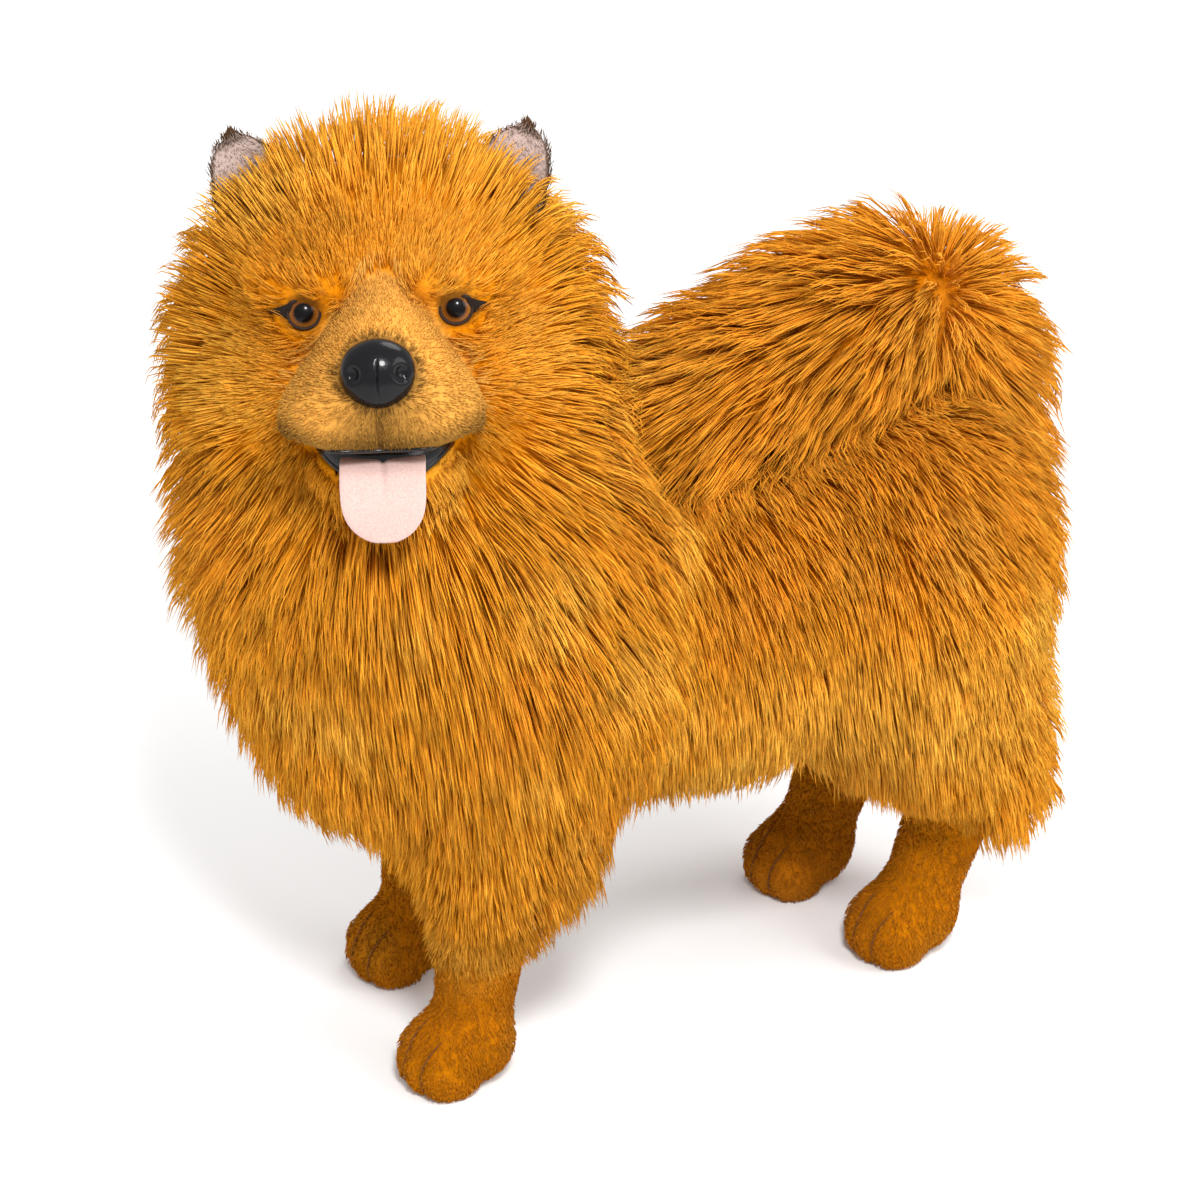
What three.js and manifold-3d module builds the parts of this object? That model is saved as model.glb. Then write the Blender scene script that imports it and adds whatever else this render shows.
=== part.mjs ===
// A large soft toy in the shape of a standing chow chow, its head turned to its left.
// Long plush covers the head, neck, body, upper legs and tail. The muzzle, lower legs and
// paws are short plush, the eyes and nose are moulded plastic and the tongue is felt.
// Millimetres. +Z is up and the floor is z = 0. The body faces -Y, so its left side is +X.

import * as THREE from "three";
import { mergeVertices } from "three/addons/utils/BufferGeometryUtils.js";
import Module from "manifold-3d";

const wasm = await Module();
wasm.setup();

// Driving dimensions
const GAP = 0.3; // clearance between touching pieces
const FINEST = 0.02; // shape finer than this is smoothed away
const ORIGIN_SHIFT = [0, 5.1]; // puts the origin under the middle of the bounding box
const HEAD = { centre: [-5.5, -133.5, 373.5], turn: 65, lift: 19, roll: 1.5 }; // degrees
const PAW_X = { fore: 54, hind: 42 }; // half the distance between a pair of paws
const PAW_Y = { fore: { left: -128, right: -110 }, hind: { left: 130, right: 115 } };
const SEAM_Z = { fore: 84, hind: 84 }; // where the long plush ends on each leg
const LEG_TOP_Z = { fore: 140, hind: 150 }; // where a leg leaves the body
const SHORT_PILE = 4;
const TAIL_COAT = 32;
const CORE_SHARE = 0.45; // how far the cores reach into the coat
const LOCK = { sink: 7, thick: 9, least: 10 }; // depth of the root, thickness, lowest tip
const EYE = { x: 34, y: -58, z: 14, radius: 9.5 };
const NOSE = { y: -113, z: -11, width: 33, height: 29, depth: 22 };
const EAR = { x: 56, y: 6, z: 58, height: 40, width: 40, thick: 7, lean: 24 };
const TONGUE = { width: 38, thick: 3.2 };
const TAIL = [
  // x, y, z and radius of the stuffed core, from the rump to the tip
  [0, 162, 262, 24],
  [2, 172, 298, 23],
  [6, 156, 333, 24],
  [13, 120, 347, 26],
  [18, 76, 338, 26],
  [23, 28, 320, 24],
  [27, -10, 306, 18],
  [29, -30, 298, 12],
];

// Seeded draws between -1 and 1, so that every build is the same
function drawsFrom(start) {
  let seed = start;
  return (spread = 1) => {
    seed = (seed * 1664525 + 1013904223) % 4294967296;
    return ((seed / 4294967296) * 2 - 1) * spread;
  };
}

// Small vector helpers on [x, y, z]
const add = (a, b, s = 1) => [a[0] + b[0] * s, a[1] + b[1] * s, a[2] + b[2] * s];
const sub = (a, b) => add(a, b, -1);
const dot = (a, b) => a[0] * b[0] + a[1] * b[1] + a[2] * b[2];
const norm = (a) => Math.hypot(a[0], a[1], a[2]);
const unit = (a) => a.map((v) => v / (norm(a) || 1));
const mix = (a, b, t) => a.map((v, i) => v + (b[i] - v) * t);
const cross = (a, b) => [
  a[1] * b[2] - a[2] * b[1],
  a[2] * b[0] - a[0] * b[2],
  a[0] * b[1] - a[1] * b[0],
];
const clamp = (v, lo = 0, hi = 1) => Math.min(hi, Math.max(lo, v));
const ramp = (v, lo, hi) => {
  const t = clamp((v - lo) / (hi - lo));
  return t * t * (3 - 2 * t);
};

// The head's own axes: x to its left, y to its back, z up
const [turn, lift, roll] = [HEAD.turn, HEAD.lift, HEAD.roll].map(THREE.MathUtils.degToRad);
const ahead = [
  Math.sin(turn) * Math.cos(lift),
  -Math.cos(turn) * Math.cos(lift),
  Math.sin(lift),
];
const levelLeft = [Math.cos(turn), Math.sin(turn), 0];
const levelUp = cross(ahead, levelLeft);
const leftAxis = add(levelLeft.map((v) => v * Math.cos(roll)), levelUp, Math.sin(roll));
const upAxis = add(levelUp.map((v) => v * Math.cos(roll)), levelLeft, -Math.sin(roll));
const backAxis = ahead.map((v) => -v);
const headAxes = [leftAxis, backAxis, upAxis];
const turned = (v) =>
  add(add(leftAxis.map((a) => a * v[0]), backAxis, v[1]), upAxis, v[2]);
const atHead = (x, y, z) => add(HEAD.centre, turned([x, y, z]));
const inHead = (p) => headAxes.map((axis) => dot(sub(p, HEAD.centre), axis));

// Distance fields: negative inside the form, positive outside it
const WORLD_AXES = [
  [1, 0, 0],
  [0, 1, 0],
  [0, 0, 1],
];

function ball(p, centre, radii, axes = WORLD_AXES) {
  const q = axes.map((axis) => dot(sub(p, centre), axis));
  const near = Math.hypot(q[0] / radii[0], q[1] / radii[1], q[2] / radii[2]);
  const slope = Math.hypot(q[0] / radii[0] ** 2, q[1] / radii[1] ** 2, q[2] / radii[2] ** 2);
  return (near * (near - 1)) / Math.max(slope, 1e-9);
}

const headBall = (p, x, y, z, radii) => ball(p, atHead(x, y, z), radii, headAxes);

function cone(p, a, b, ra, rb) {
  const ba = sub(b, a);
  const pa = sub(p, a);
  const l2 = dot(ba, ba);
  const rr = ra - rb;
  const a2 = l2 - rr * rr;
  const y = dot(pa, ba);
  const z = y - l2;
  const side = pa.map((v, i) => v * l2 - ba[i] * y);
  const x2 = dot(side, side);
  const k = Math.sign(rr) * rr * rr * x2;
  if (Math.sign(z) * a2 * z * z * l2 > k) return Math.sqrt(x2 + z * z * l2) / l2 - rb;
  if (Math.sign(y) * a2 * y * y * l2 < k) return Math.sqrt(x2 + y * y * l2) / l2 - ra;
  return (Math.sqrt((x2 * a2) / l2) + y * rr) / l2 - ra;
}

function blend(a, b, k) {
  const h = Math.max(k - Math.abs(a - b), 0) / k;
  return Math.min(a, b) - (h * h * k) / 4;
}

// The forms of the toy, each as a field
function headForm(p) {
  let d = headBall(p, 0, 12, 6, [68, 72, 64]);
  for (const s of [1, -1]) {
    d = blend(d, headBall(p, 38 * s, -22, -24, [36, 42, 36]), 22);
    d = blend(d, headBall(p, 26 * s, -42, 24, [27, 22, 17]), 16);
  }
  return d;
}

function muzzleForm(p) {
  let d = headBall(p, 0, -66, -24, [36, 44, 30]);
  for (const s of [1, -1]) d = blend(d, headBall(p, 18 * s, -88, -32, [25, 26, 22]), 10);
  return blend(d, headBall(p, 0, -74, -6, [17, 36, 16]), 12);
}

const neckForm = (p) =>
  blend(
    cone(p, atHead(0, 22, -14), [-4, -118, 262], 74, 82),
    cone(p, [0, -116, 240], [0, -128, 190], 80, 58),
    30,
  );

function trunkForm(p) {
  let d = cone(p, [0, -90, 218], [0, 20, 214], 82, 77);
  d = blend(d, cone(p, [0, 20, 214], [0, 112, 224], 75, 76), 30);
  return blend(d, ball(p, [0, 122, 216], [80, 80, 80]), 20);
}

function foreForm(p, s, y) {
  const x = PAW_X.fore * s;
  const upper = cone(p, [56 * s, -92, 206], [x, y + 18, 128], 44, 28);
  return blend(upper, cone(p, [x, y + 18, 128], [x, y + 7, 42], 26, 18), 10);
}

function hindForm(p, s, y) {
  const x = PAW_X.hind * s;
  let d = cone(p, [48 * s, 112, 200], [x + 4 * s, y + 12, 130], 54, 38);
  d = blend(d, cone(p, [x + 3 * s, y + 14, 128], [x, y + 29, 92], 36, 24), 14);
  return blend(d, cone(p, [x, y + 29, 92], [x, y + 8, 34], 22, 18), 10);
}

const pawForm = (p, x, y) =>
  Math.max(cone(p, [x, y + 4, 22], [x, y - 10, 19], 20, 20), 0.2 - p[2]);

function tailForm(p) {
  let d = 1e9;
  TAIL.slice(1).forEach((b, i) => {
    const a = TAIL[i];
    d = blend(d, cone(p, a.slice(0, 3), b.slice(0, 3), a[3], b[3]), 14);
  });
  return d;
}

const LEGS = [];
for (const [pair, form] of [["fore", foreForm], ["hind", hindForm]])
  for (const [side, s] of [["left", 1], ["right", -1]]) {
    const x = PAW_X[pair] * s;
    const y = PAW_Y[pair][side];
    LEGS.push({ pair, side, s, x, y, form: (p) => form(p, s, y) });
  }

function bodyForm(p) {
  let d = blend(blend(headForm(p), neckForm(p), 18), trunkForm(p), 24);
  for (const leg of LEGS) d = blend(d, leg.form(p), 18);
  return d;
}

// How far the tips of the coat stand above the skin, by place
function coatDepth(p) {
  const [hx, hy, hz] = inHead(p);
  const mane = ramp(-cone(p, atHead(0, 10, -5), [0, -100, 235], 78, 84), -40, -8);
  let depth = 26;
  depth += (43 - depth) * mane * ramp(p[2], 150, 230);
  depth = 4 + (depth - 4) * ramp(p[2], 66, 130);
  const feather = ramp(p[1], -112, -84) * (1 - ramp(p[1], -60, -40)) * (1 - ramp(p[2], 140, 175));
  const hock = ramp(p[1], 132, 160) * (1 - ramp(p[2], 110, 140));
  depth += 12 * feather * ramp(p[2], 60, 95) + 9 * hock * ramp(p[2], 40, 70);
  const face = ramp(-hy, 18, 50) * (1 - ramp(Math.hypot(hx, hz + 12), 52, 84));
  return depth + (6 - depth) * face;
}
const tailDepth = () => TAIL_COAT;

// The way the coat lies, by place
function lie(p) {
  const [hx, hy, hz] = inHead(p);
  const fromFace = unit([hx, 0, hz + 14]);
  const overHead = turned([fromFace[0], 0.75, fromFace[2]]);
  const onHead = mix(overHead, [0, 0.3, -1], ramp(hy, 0, 55));
  const side = clamp(p[0] / 70, -1, 1);
  const onChest = [0.3 * side, 0.1, -1];
  const onBack = [0.35 * side, 1, -0.25 - 0.5 * Math.abs(side)];
  const onLeg = [0, 0.12, -1];
  let d = mix(onChest, onBack, ramp(p[1], -110, -20));
  d = mix(onLeg, d, ramp(p[2], 110, 170));
  return mix(d, onHead, ramp(p[2], 285, 350) * ramp(-p[1], 20, 70));
}

// On the tail it runs along to the tip and hangs to either side
function tailLie(p) {
  const spots = TAIL.map((v) => v.slice(0, 3));
  const gaps = spots.map((v) => norm(sub(p, v)));
  const near = clamp(gaps.indexOf(Math.min(...gaps)), 1, TAIL.length - 2);
  const along = unit(sub(spots[near + 1], spots[near - 1]));
  return add(along, [0, 0, -1], 0.75);
}

function slopeOf(field, p) {
  const e = 0.5;
  const d = field(p);
  return unit(WORLD_AXES.map((axis) => field(add(p, axis, e)) - d));
}

// Moves p along the field's slope until it stands that high above the form
function raise(field, p, height) {
  let q = p;
  for (let i = 0; i < 4; i++) q = add(q, slopeOf(field, q), height - field(q));
  return q;
}

// Where a ray from an inner point first leaves the field
function cast(field, from, way, reach) {
  const step = 5;
  let r = 0;
  while (r < reach && field(add(from, way, r + step)) < 0) r += step;
  if (r >= reach) return add(from, way, reach);
  let [lo, hi] = [r, r + step];
  for (let i = 0; i < 12; i++) {
    const half = (lo + hi) / 2;
    if (field(add(from, way, half)) < 0) lo = half;
    else hi = half;
  }
  return add(from, way, (lo + hi) / 2);
}

// Solids
function solidFrom(points, faces) {
  const mesh = new wasm.Mesh({
    numProp: 3,
    vertProperties: new Float32Array(points.flat()),
    triVerts: new Uint32Array(faces.flat()),
  });
  return new wasm.Manifold(mesh);
}

function solidOf(geometry) {
  const bare = geometry.index ? geometry.toNonIndexed() : geometry.clone();
  bare.deleteAttribute("normal");
  bare.deleteAttribute("uv");
  const merged = mergeVertices(bare, 1e-3);
  const mesh = new wasm.Mesh({
    numProp: 3,
    vertProperties: merged.attributes.position.array,
    triVerts: new Uint32Array(merged.index.array),
  });
  return new wasm.Manifold(mesh);
}

function geometryOf(solid) {
  const { vertProperties, triVerts } = solid.getMesh();
  const geometry = new THREE.BufferGeometry();
  geometry.setAttribute("position", new THREE.BufferAttribute(vertProperties, 3));
  geometry.setIndex(new THREE.BufferAttribute(triVerts, 1));
  return geometry;
}

// A closed skin over a field, seen from an axis line: round ends and rings between them
function wrap({ field, line, sides, rings, ends, reach = 400, facing = [1, 0, 0] }) {
  const spots = [];
  const last = line.length - 1;
  const along = (i) => unit(sub(line[Math.min(i + 1, last)], line[Math.max(i - 1, 0)]));
  for (let i = 1; i <= ends; i++)
    spots.push([line[0], along(0), Math.cos((Math.PI / 2) * (i / (ends + 1)))]);
  for (let i = 0; i < last; i++)
    for (let k = 0; k < rings; k++)
      spots.push([mix(line[i], line[i + 1], k / rings), mix(along(i), along(i + 1), k / rings), 0]);
  spots.push([line[last], along(last), 0]);
  for (let i = ends; i >= 1; i--)
    spots.push([line[last], along(last), -Math.cos((Math.PI / 2) * (i / (ends + 1)))]);
  const points = [cast(field, line[0], along(0).map((v) => -v), reach)];
  for (const [from, axis, back] of spots) {
    const t = unit(axis);
    const e1 = unit(add(facing, t, -dot(facing, t)));
    const e2 = cross(t, e1);
    const out = Math.sqrt(1 - back * back);
    for (let j = 0; j < sides; j++) {
      const a = (2 * Math.PI * j) / sides;
      const ring = add(e1.map((v) => v * Math.cos(a)), e2, Math.sin(a));
      points.push(cast(field, from, add(ring.map((v) => v * out), t, -back), reach));
    }
  }
  points.push(cast(field, line[last], along(last), reach));
  const faces = [];
  const at = (i, j) => 1 + i * sides + (j % sides);
  for (let j = 0; j < sides; j++) {
    faces.push([0, at(0, j + 1), at(0, j)]);
    for (let i = 0; i + 1 < spots.length; i++) {
      faces.push([at(i, j), at(i, j + 1), at(i + 1, j)]);
      faces.push([at(i, j + 1), at(i + 1, j + 1), at(i + 1, j)]);
    }
    faces.push([at(spots.length - 1, j), at(spots.length - 1, j + 1), points.length - 1]);
  }
  return solidFrom(points, faces);
}

// One lock of the coat: a flat, tapered blade that rises from the skin and bends along its lie
const LOCK_RINGS = [
  // share of the length, of the width, and of the height from the core to the tips
  [0, 0.62, 0],
  [0.36, 1, 0.45],
  [0.72, 0.72, 0.92],
];

function lock({ form, depth, lieOf }, root, length, width, grow) {
  const t = LOCK.thick;
  const points = [];
  const heightAt = (p, high) => {
    const full = Math.max(depth(p), LOCK.least);
    return full * (CORE_SHARE + (1 - CORE_SHARE) * high) - (high ? 0 : LOCK.sink);
  };
  let p = raise(form, root, heightAt(root, 0));
  let reached = 0;
  for (const [share, wide, high] of [...LOCK_RINGS, [1, 0, 1]]) {
    const slope = slopeOf(form, p);
    const heading = lieOf(p);
    const flat = unit(add(heading, slope, -dot(heading, slope)));
    const goal = add(p, flat, (share - reached) * length);
    const height = heightAt(goal, high);
    p = raise(form, goal, height);
    reached = share;
    if (!wide) {
      points.push(add(p, flat, 4 * grow));
      continue;
    }
    const n = slopeOf(form, p);
    const across = unit(cross(n, flat));
    const half = (width * wide) / 2;
    // thin edges stand out further than faces when the lock is grown
    const edges = [-1, 1].map((s) => {
      const edge = add(p, across, s * half);
      const laid = add(edge, slopeOf(form, edge), height - t * 0.4 - form(edge));
      return add(add(laid, across, s * 3 * grow), n, -grow);
    });
    points.push(edges[0], add(p, n, t * 0.6 + 1.6 * grow), edges[1]);
  }
  const faces = [[0, 1, 2]];
  const tip = points.length - 1;
  for (let j = 0; j < 3; j++) {
    const k = (j + 1) % 3;
    for (let a = 0; a + 3 < tip; a += 3)
      faces.push([a + j, a + 3 + j, a + k], [a + k, a + 3 + j, a + 3 + k]);
    faces.push([tip - 3 + j, tip, tip - 3 + k]);
  }
  return solidFrom(points, faces);
}

// Rows of locks round an axis. Each row looks out from a point, at a tilt from the axis,
// and its locks stand between two turns about it: turn 0 is the facing side.
function locks(coat, { seed, axis, facing, rows, bare = () => false }, grow) {
  const draw = drawsFrom(seed);
  const t = unit(axis);
  const e1 = unit(add(facing, t, -dot(facing, t)));
  const e2 = cross(t, e1);
  const solids = [];
  for (const { from, tilt = 90, turns = [-180, 180], count, length, width } of rows)
    for (let i = 0; i < count; i++) {
      const share = (i + 0.5 + draw(0.22)) / count;
      const around = THREE.MathUtils.degToRad(turns[0] + (turns[1] - turns[0]) * share);
      const lean = THREE.MathUtils.degToRad(tilt + draw(5));
      const out = add(e1.map((v) => v * Math.cos(around)), e2, Math.sin(around));
      const way = add(out.map((v) => v * Math.sin(lean)), t, Math.cos(lean));
      const long = length * (1 + draw(0.12));
      const wide = width * (1 + draw(0.12));
      const root = cast(coat.form, from, way, 140);
      if (!bare(root)) solids.push(lock(coat, root, long, wide, grow));
    }
  return solids;
}

// Planes that part the body: a point, a normal and the node on the side the normal leaves
const halfSpace = (solid, point, normal, grow) => {
  const n = unit(normal);
  return solid.trimByPlane(n, dot(n, point) + GAP / 2 - grow);
};

const biggest = (solid) =>
  solid.decompose().reduce((best, piece) => (piece.volume() > best.volume() ? piece : best));

// A body of the coat: its stuffed core in a skin that stands part of the way to the tips
const coreOf = (form, depth, grow) => (p) => form(p) - depth(p) * CORE_SHARE - grow;
const shortPlush = (form, grow) => (p) => form(p) - SHORT_PILE - grow;
const BODY_COAT = { form: bodyForm, depth: coatDepth, lieOf: lie };
const TAIL_LIE = { form: tailForm, depth: tailDepth, lieOf: tailLie };
const clothe = (core, coats) => wasm.Manifold.union([core, ...coats]);

// Each maker returns its solid, or the same solid grown on all sides
const NECK_TOP = { point: atHead(0, 0, -44), normal: [0.02, 0.2, -1] };
const NECK_BACK = { point: [0, -58, 220], normal: [0, -1, 0.25] };

function makeEye(side, grow = 0) {
  const s = side === "left" ? 1 : -1;
  const r = EYE.radius + grow;
  const ballShape = solidOf(new THREE.IcosahedronGeometry(r, 2));
  return ballShape.translate(atHead(EYE.x * s, EYE.y, EYE.z));
}

function makeNose(grow = 0) {
  const shape = new THREE.SphereGeometry(0.5, 16, 10);
  shape.rotateX(Math.PI / 2);
  const place = shape.attributes.position;
  for (let i = 0; i < place.count; i++) {
    const [x, y, z] = [place.getX(i), place.getY(i), place.getZ(i)];
    const taper = z < 0 ? 1 + z * 0.7 : 1;
    const square = 1 + 0.5 * (0.25 - Math.min(x * x, z * z));
    place.setXYZ(
      i,
      x * taper * square * (NOSE.width + 2 * grow),
      y * (NOSE.depth + 2 * grow),
      z * (NOSE.height + 2 * grow),
    );
  }
  return toWorld(solidOf(shape).translate([0, NOSE.y, NOSE.z]));
}

// Solids drawn in the head's own axes are carried to their place on the head
function toWorld(solid) {
  const [l, b, u] = headAxes;
  const c = HEAD.centre;
  return solid.transform([...l, 0, ...b, 0, ...u, 0, ...c, 1]);
}

function makeEar(side, grow = 0) {
  const s = side === "left" ? 1 : -1;
  const outline = new THREE.Shape();
  const half = EAR.width / 2;
  outline.moveTo(-half, 0);
  outline.quadraticCurveTo(-half * 1.02, EAR.height * 0.72, 0, EAR.height);
  outline.quadraticCurveTo(half * 1.02, EAR.height * 0.72, half, 0);
  outline.lineTo(-half, 0);
  const sheet = new THREE.ExtrudeGeometry(outline, {
    depth: EAR.thick - 4,
    bevelThickness: 2 + grow,
    bevelSize: 2 + grow,
    bevelSegments: 2,
    curveSegments: 6,
  });
  sheet.translate(0, 0, -(EAR.thick - 4) / 2);
  sheet.rotateX(Math.PI / 2);
  let ear = solidOf(sheet);
  ear = ear.warp((v) => {
    // the edges bend forward, so that the ear is cupped
    v[1] -= (v[0] / half) ** 2 * 7;
  });
  ear = ear.rotate([0, s * EAR.lean, 0]).translate([EAR.x * s, EAR.y, EAR.z]);
  return toWorld(ear);
}

function makeTongue(grow = 0) {
  // stations along the middle: y, z, share of the width and how far the flat has turned down
  const path = [
    [-50, -55, 0.8, 0],
    [-80, -55, 0.95, 0],
    [-96, -56, 1, 22],
    [-105, -61, 1, 62],
    [-107, -71, 1, 88],
    [-107, -79, 0.86, 92],
    [-106, -85, 0.48, 96],
  ];
  const sides = 10;
  const points = [];
  path.forEach(([y, z, share, bend], i) => {
    const a = THREE.MathUtils.degToRad(bend);
    const end = i === 0 ? grow : i === path.length - 1 ? -grow : 0;
    for (let j = 0; j < sides; j++) {
      const t = (2 * Math.PI * j) / sides;
      const x = Math.cos(t) * ((TONGUE.width * share) / 2 + grow);
      const h = Math.sin(t) * (TONGUE.thick / 2 + grow);
      points.push([x, y - h * Math.sin(a) + end * Math.cos(a), z + h * Math.cos(a) + end * Math.sin(a)]);
    }
  });
  const faces = [];
  for (let i = 0; i + 1 < path.length; i++)
    for (let j = 0; j < sides; j++) {
      const [a, b] = [i * sides + j, i * sides + ((j + 1) % sides)];
      faces.push([a, a + sides, b], [b, a + sides, b + sides]);
    }
  const end = (path.length - 1) * sides;
  for (let j = 1; j + 1 < sides; j++) {
    faces.push([0, j, j + 1], [end, end + j + 1, end + j]);
  }
  return toWorld(outward(points, faces));
}

function outward(points, faces) {
  const solid = solidFrom(points, faces);
  return solid.volume() > 0 ? solid : solidFrom(points, faces.map(([a, b, c]) => [a, c, b]));
}

function makeHead(grow = 0) {
  const shell = wrap({
    field: coreOf(headForm, coatDepth, grow),
    line: [atHead(0, 24, 4), atHead(0, -14, 0)],
    facing: leftAxis,
    sides: 16,
    rings: 1,
    ends: 4,
  });
  const core = halfSpace(shell, NECK_TOP.point, NECK_TOP.normal.map((v) => -v), grow);
  const from = atHead(0, 6, 2);
  const coats = locks(BODY_COAT, {
    seed: 382,
    axis: ahead,
    facing: upAxis,
    bare: (p) => dot(sub(p, NECK_TOP.point), NECK_TOP.normal) > 0 || nearEar(p),
    rows: [
      { from, tilt: 62, count: 14, length: 54, width: 38 },
      { from, tilt: 88, count: 11, length: 62, width: 46 },
      { from, tilt: 116, count: 8, length: 66, width: 52 },
      { from, tilt: 146, count: 6, length: 66, width: 52 },
    ],
  }, grow);
  return clothe(core, coats);
}

function nearEar(p) {
  const [x, y, z] = inHead(p);
  return Math.hypot(Math.abs(x) - EAR.x, y - EAR.y + 8, z - EAR.z) < 24;
}

function makeMuzzle(grow = 0) {
  const shell = wrap({
    field: shortPlush(muzzleForm, grow),
    line: [atHead(0, -50, -24), atHead(0, -84, -26)],
    facing: leftAxis,
    sides: 16,
    rings: 2,
    ends: 3,
  });
  return halfSpace(shell, atHead(0, 0, -51), upAxis, grow);
}

function makeLining(grow = 0) {
  const form = (p) => headBall(p, 0, -66, -52, [33 + grow, 42 + grow, 20]);
  const shell = wrap({
    field: form,
    line: [atHead(0, -64, -52), atHead(0, -68, -52)],
    facing: leftAxis,
    sides: 12,
    rings: 1,
    ends: 3,
  });
  const below = halfSpace(shell, atHead(0, 0, -51), upAxis.map((v) => -v), grow);
  return halfSpace(below, atHead(0, 0, -57), upAxis, grow);
}

function makeJaw(grow = 0) {
  const shell = wrap({
    field: (p) => headBall(p, 0, -60, -56, [31, 38, 17]) - SHORT_PILE - grow,
    line: [atHead(0, -56, -60), atHead(0, -66, -60)],
    facing: leftAxis,
    sides: 12,
    rings: 1,
    ends: 3,
  });
  return halfSpace(shell, atHead(0, 0, -57), upAxis.map((v) => -v), grow);
}

function makeNeck(grow = 0) {
  const shell = wrap({
    field: coreOf(neckForm, coatDepth, grow),
    line: [atHead(0, 22, -10), [-4, -114, 262], [0, -116, 236], [0, -118, 206]],
    facing: [1, 0, 0],
    sides: 16,
    rings: 2,
    ends: 3,
  });
  const low = halfSpace(shell, NECK_TOP.point, NECK_TOP.normal, grow);
  const core = halfSpace(low, NECK_BACK.point, NECK_BACK.normal, grow);
  const size = { length: 76, width: 48 };
  const coats = locks(BODY_COAT, {
    seed: 818,
    axis: [0, 0, -1],
    facing: [0, -1, 0],
    rows: [
      { from: [-5, -122, 316], turns: [-170, 170], count: 9, ...size },
      { from: [-5, -118, 280], turns: [-145, 145], count: 8, ...size },
      { from: [-4, -114, 244], turns: [-115, 115], count: 7, ...size },
      { from: [0, -112, 206], turns: [-100, 100], count: 6, ...size },
      { from: [0, -112, 180], tilt: 76, turns: [-70, 70], count: 4, ...size },
    ],
  }, grow);
  return clothe(core, coats);
}

function makeTorso(grow = 0) {
  const shell = wrap({
    field: coreOf(trunkForm, coatDepth, grow),
    line: [[0, -80, 216], [0, 20, 214], [0, 122, 216]],
    facing: [1, 0, 0],
    sides: 16,
    rings: 2,
    ends: 4,
  });
  const core = halfSpace(shell, NECK_BACK.point, NECK_BACK.normal.map((v) => -v), grow);
  const size = { length: 74, width: 52 };
  const coats = locks(BODY_COAT, {
    seed: 617,
    axis: [0, 1, 0],
    facing: [0, 0, -1],
    bare: (p) => tailForm(p) < TAIL_COAT * (p[1] > 120 ? 0.3 : 1),
    rows: [
      { from: [0, -30, 214], turns: [-150, 150], count: 8, ...size },
      { from: [0, 20, 214], turns: [-150, 150], count: 7, ...size },
      { from: [0, 70, 216], turns: [-150, 150], count: 7, ...size },
      { from: [0, 116, 216], turns: [-145, 145], count: 7, ...size },
      { from: [0, 124, 216], tilt: 58, turns: [-160, 160], count: 7, ...size },
      { from: [0, 124, 216], tilt: 26, count: 4, ...size },
    ],
  }, grow);
  return clothe(core, coats);
}

// The tail is parted where it bends and again at the middle of its plume
const TAIL_PARTS = [
  { name: "tail_base", from: 0, to: 2, seed: 14, rows: [0.2, 1], count: 7, length: 46 },
  { name: "tail_bend", from: 2, to: 4, seed: 15, rows: [2.1, 2.8, 3.5], count: 7, length: 50 },
  { name: "tail_plume", from: 4, to: 7, seed: 16, rows: [4.2, 5, 5.8, 6.6], count: 7, length: 62 },
];

function makeTail({ from, to, seed, rows, count, length }, grow = 0) {
  const line = TAIL.slice(from, to + 1).map((v) => v.slice(0, 3));
  const shell = wrap({
    field: coreOf(tailForm, tailDepth, grow),
    line,
    facing: [1, 0, 0],
    sides: 12,
    rings: 2,
    ends: 2,
    reach: 90,
  });
  let part = shell;
  for (const [at, s] of [[from, 1], [to, -1]]) {
    if (at === 0 || at === TAIL.length - 1) continue;
    const here = TAIL[at].slice(0, 3);
    const along = sub(TAIL[at + 1].slice(0, 3), TAIL[at - 1].slice(0, 3));
    part = halfSpace(part, here, along.map((v) => v * s), grow);
  }
  const coats = rows.flatMap((at, i) => {
    const k = Math.floor(at);
    const [a, b] = [TAIL[k].slice(0, 3), TAIL[k + 1].slice(0, 3)];
    const row = { from: mix(a, b, at - k), count, length, width: 40 };
    const about = { seed: seed + 40 * i, axis: sub(b, a), facing: [1, 0, 0] };
    const bare = (p) => bodyForm(p) < TAIL_COAT;
    return locks(TAIL_LIE, { ...about, rows: [row], bare }, grow);
  });
  return clothe(part, coats);
}

function makeLeg(leg, grow = 0) {
  const { pair, s, x, y } = leg;
  const fore = pair === "fore";
  const line = fore
    ? [[56 * s, -92, 180], [x, y + 18, 126], [x, y + 7, 50]]
    : [[48 * s, 112, 176], [x + 3 * s, y + 14, 126], [x, y + 28, 92], [x, y + 12, 50]];
  const shell = wrap({
    field: coreOf(leg.form, coatDepth, grow),
    line,
    facing: [1, 0, 0],
    sides: 12,
    rings: 2,
    ends: 2,
    reach: 120,
  });
  const core = halfSpace(shell, [x, y, SEAM_Z[pair]], [0, 0, 1], grow);
  const out = s > 0 ? [0, 180] : [-180, 0];
  const size = { length: 58, width: 42 };
  const back = fore ? y + 16 : y + 22;
  const coats = locks(BODY_COAT, {
    seed: 372 + x + y,
    axis: [0, 0, -1],
    facing: [0, -1, 0],
    rows: [
      { from: [line[0][0], line[0][1], 172], turns: out, count: 4, ...size },
      { from: [x, back, 138], turns: out, count: 4, ...size },
      { from: [x, back, 114], count: 5, length: 40, width: 38 },
      { from: [x, back, 98], turns: [120, 240], count: 2, length: 36, width: 26 },
    ],
  }, grow);
  return halfSpace(clothe(core, coats), [0, 0, 0], [s, 0, 0], grow);
}

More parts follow.
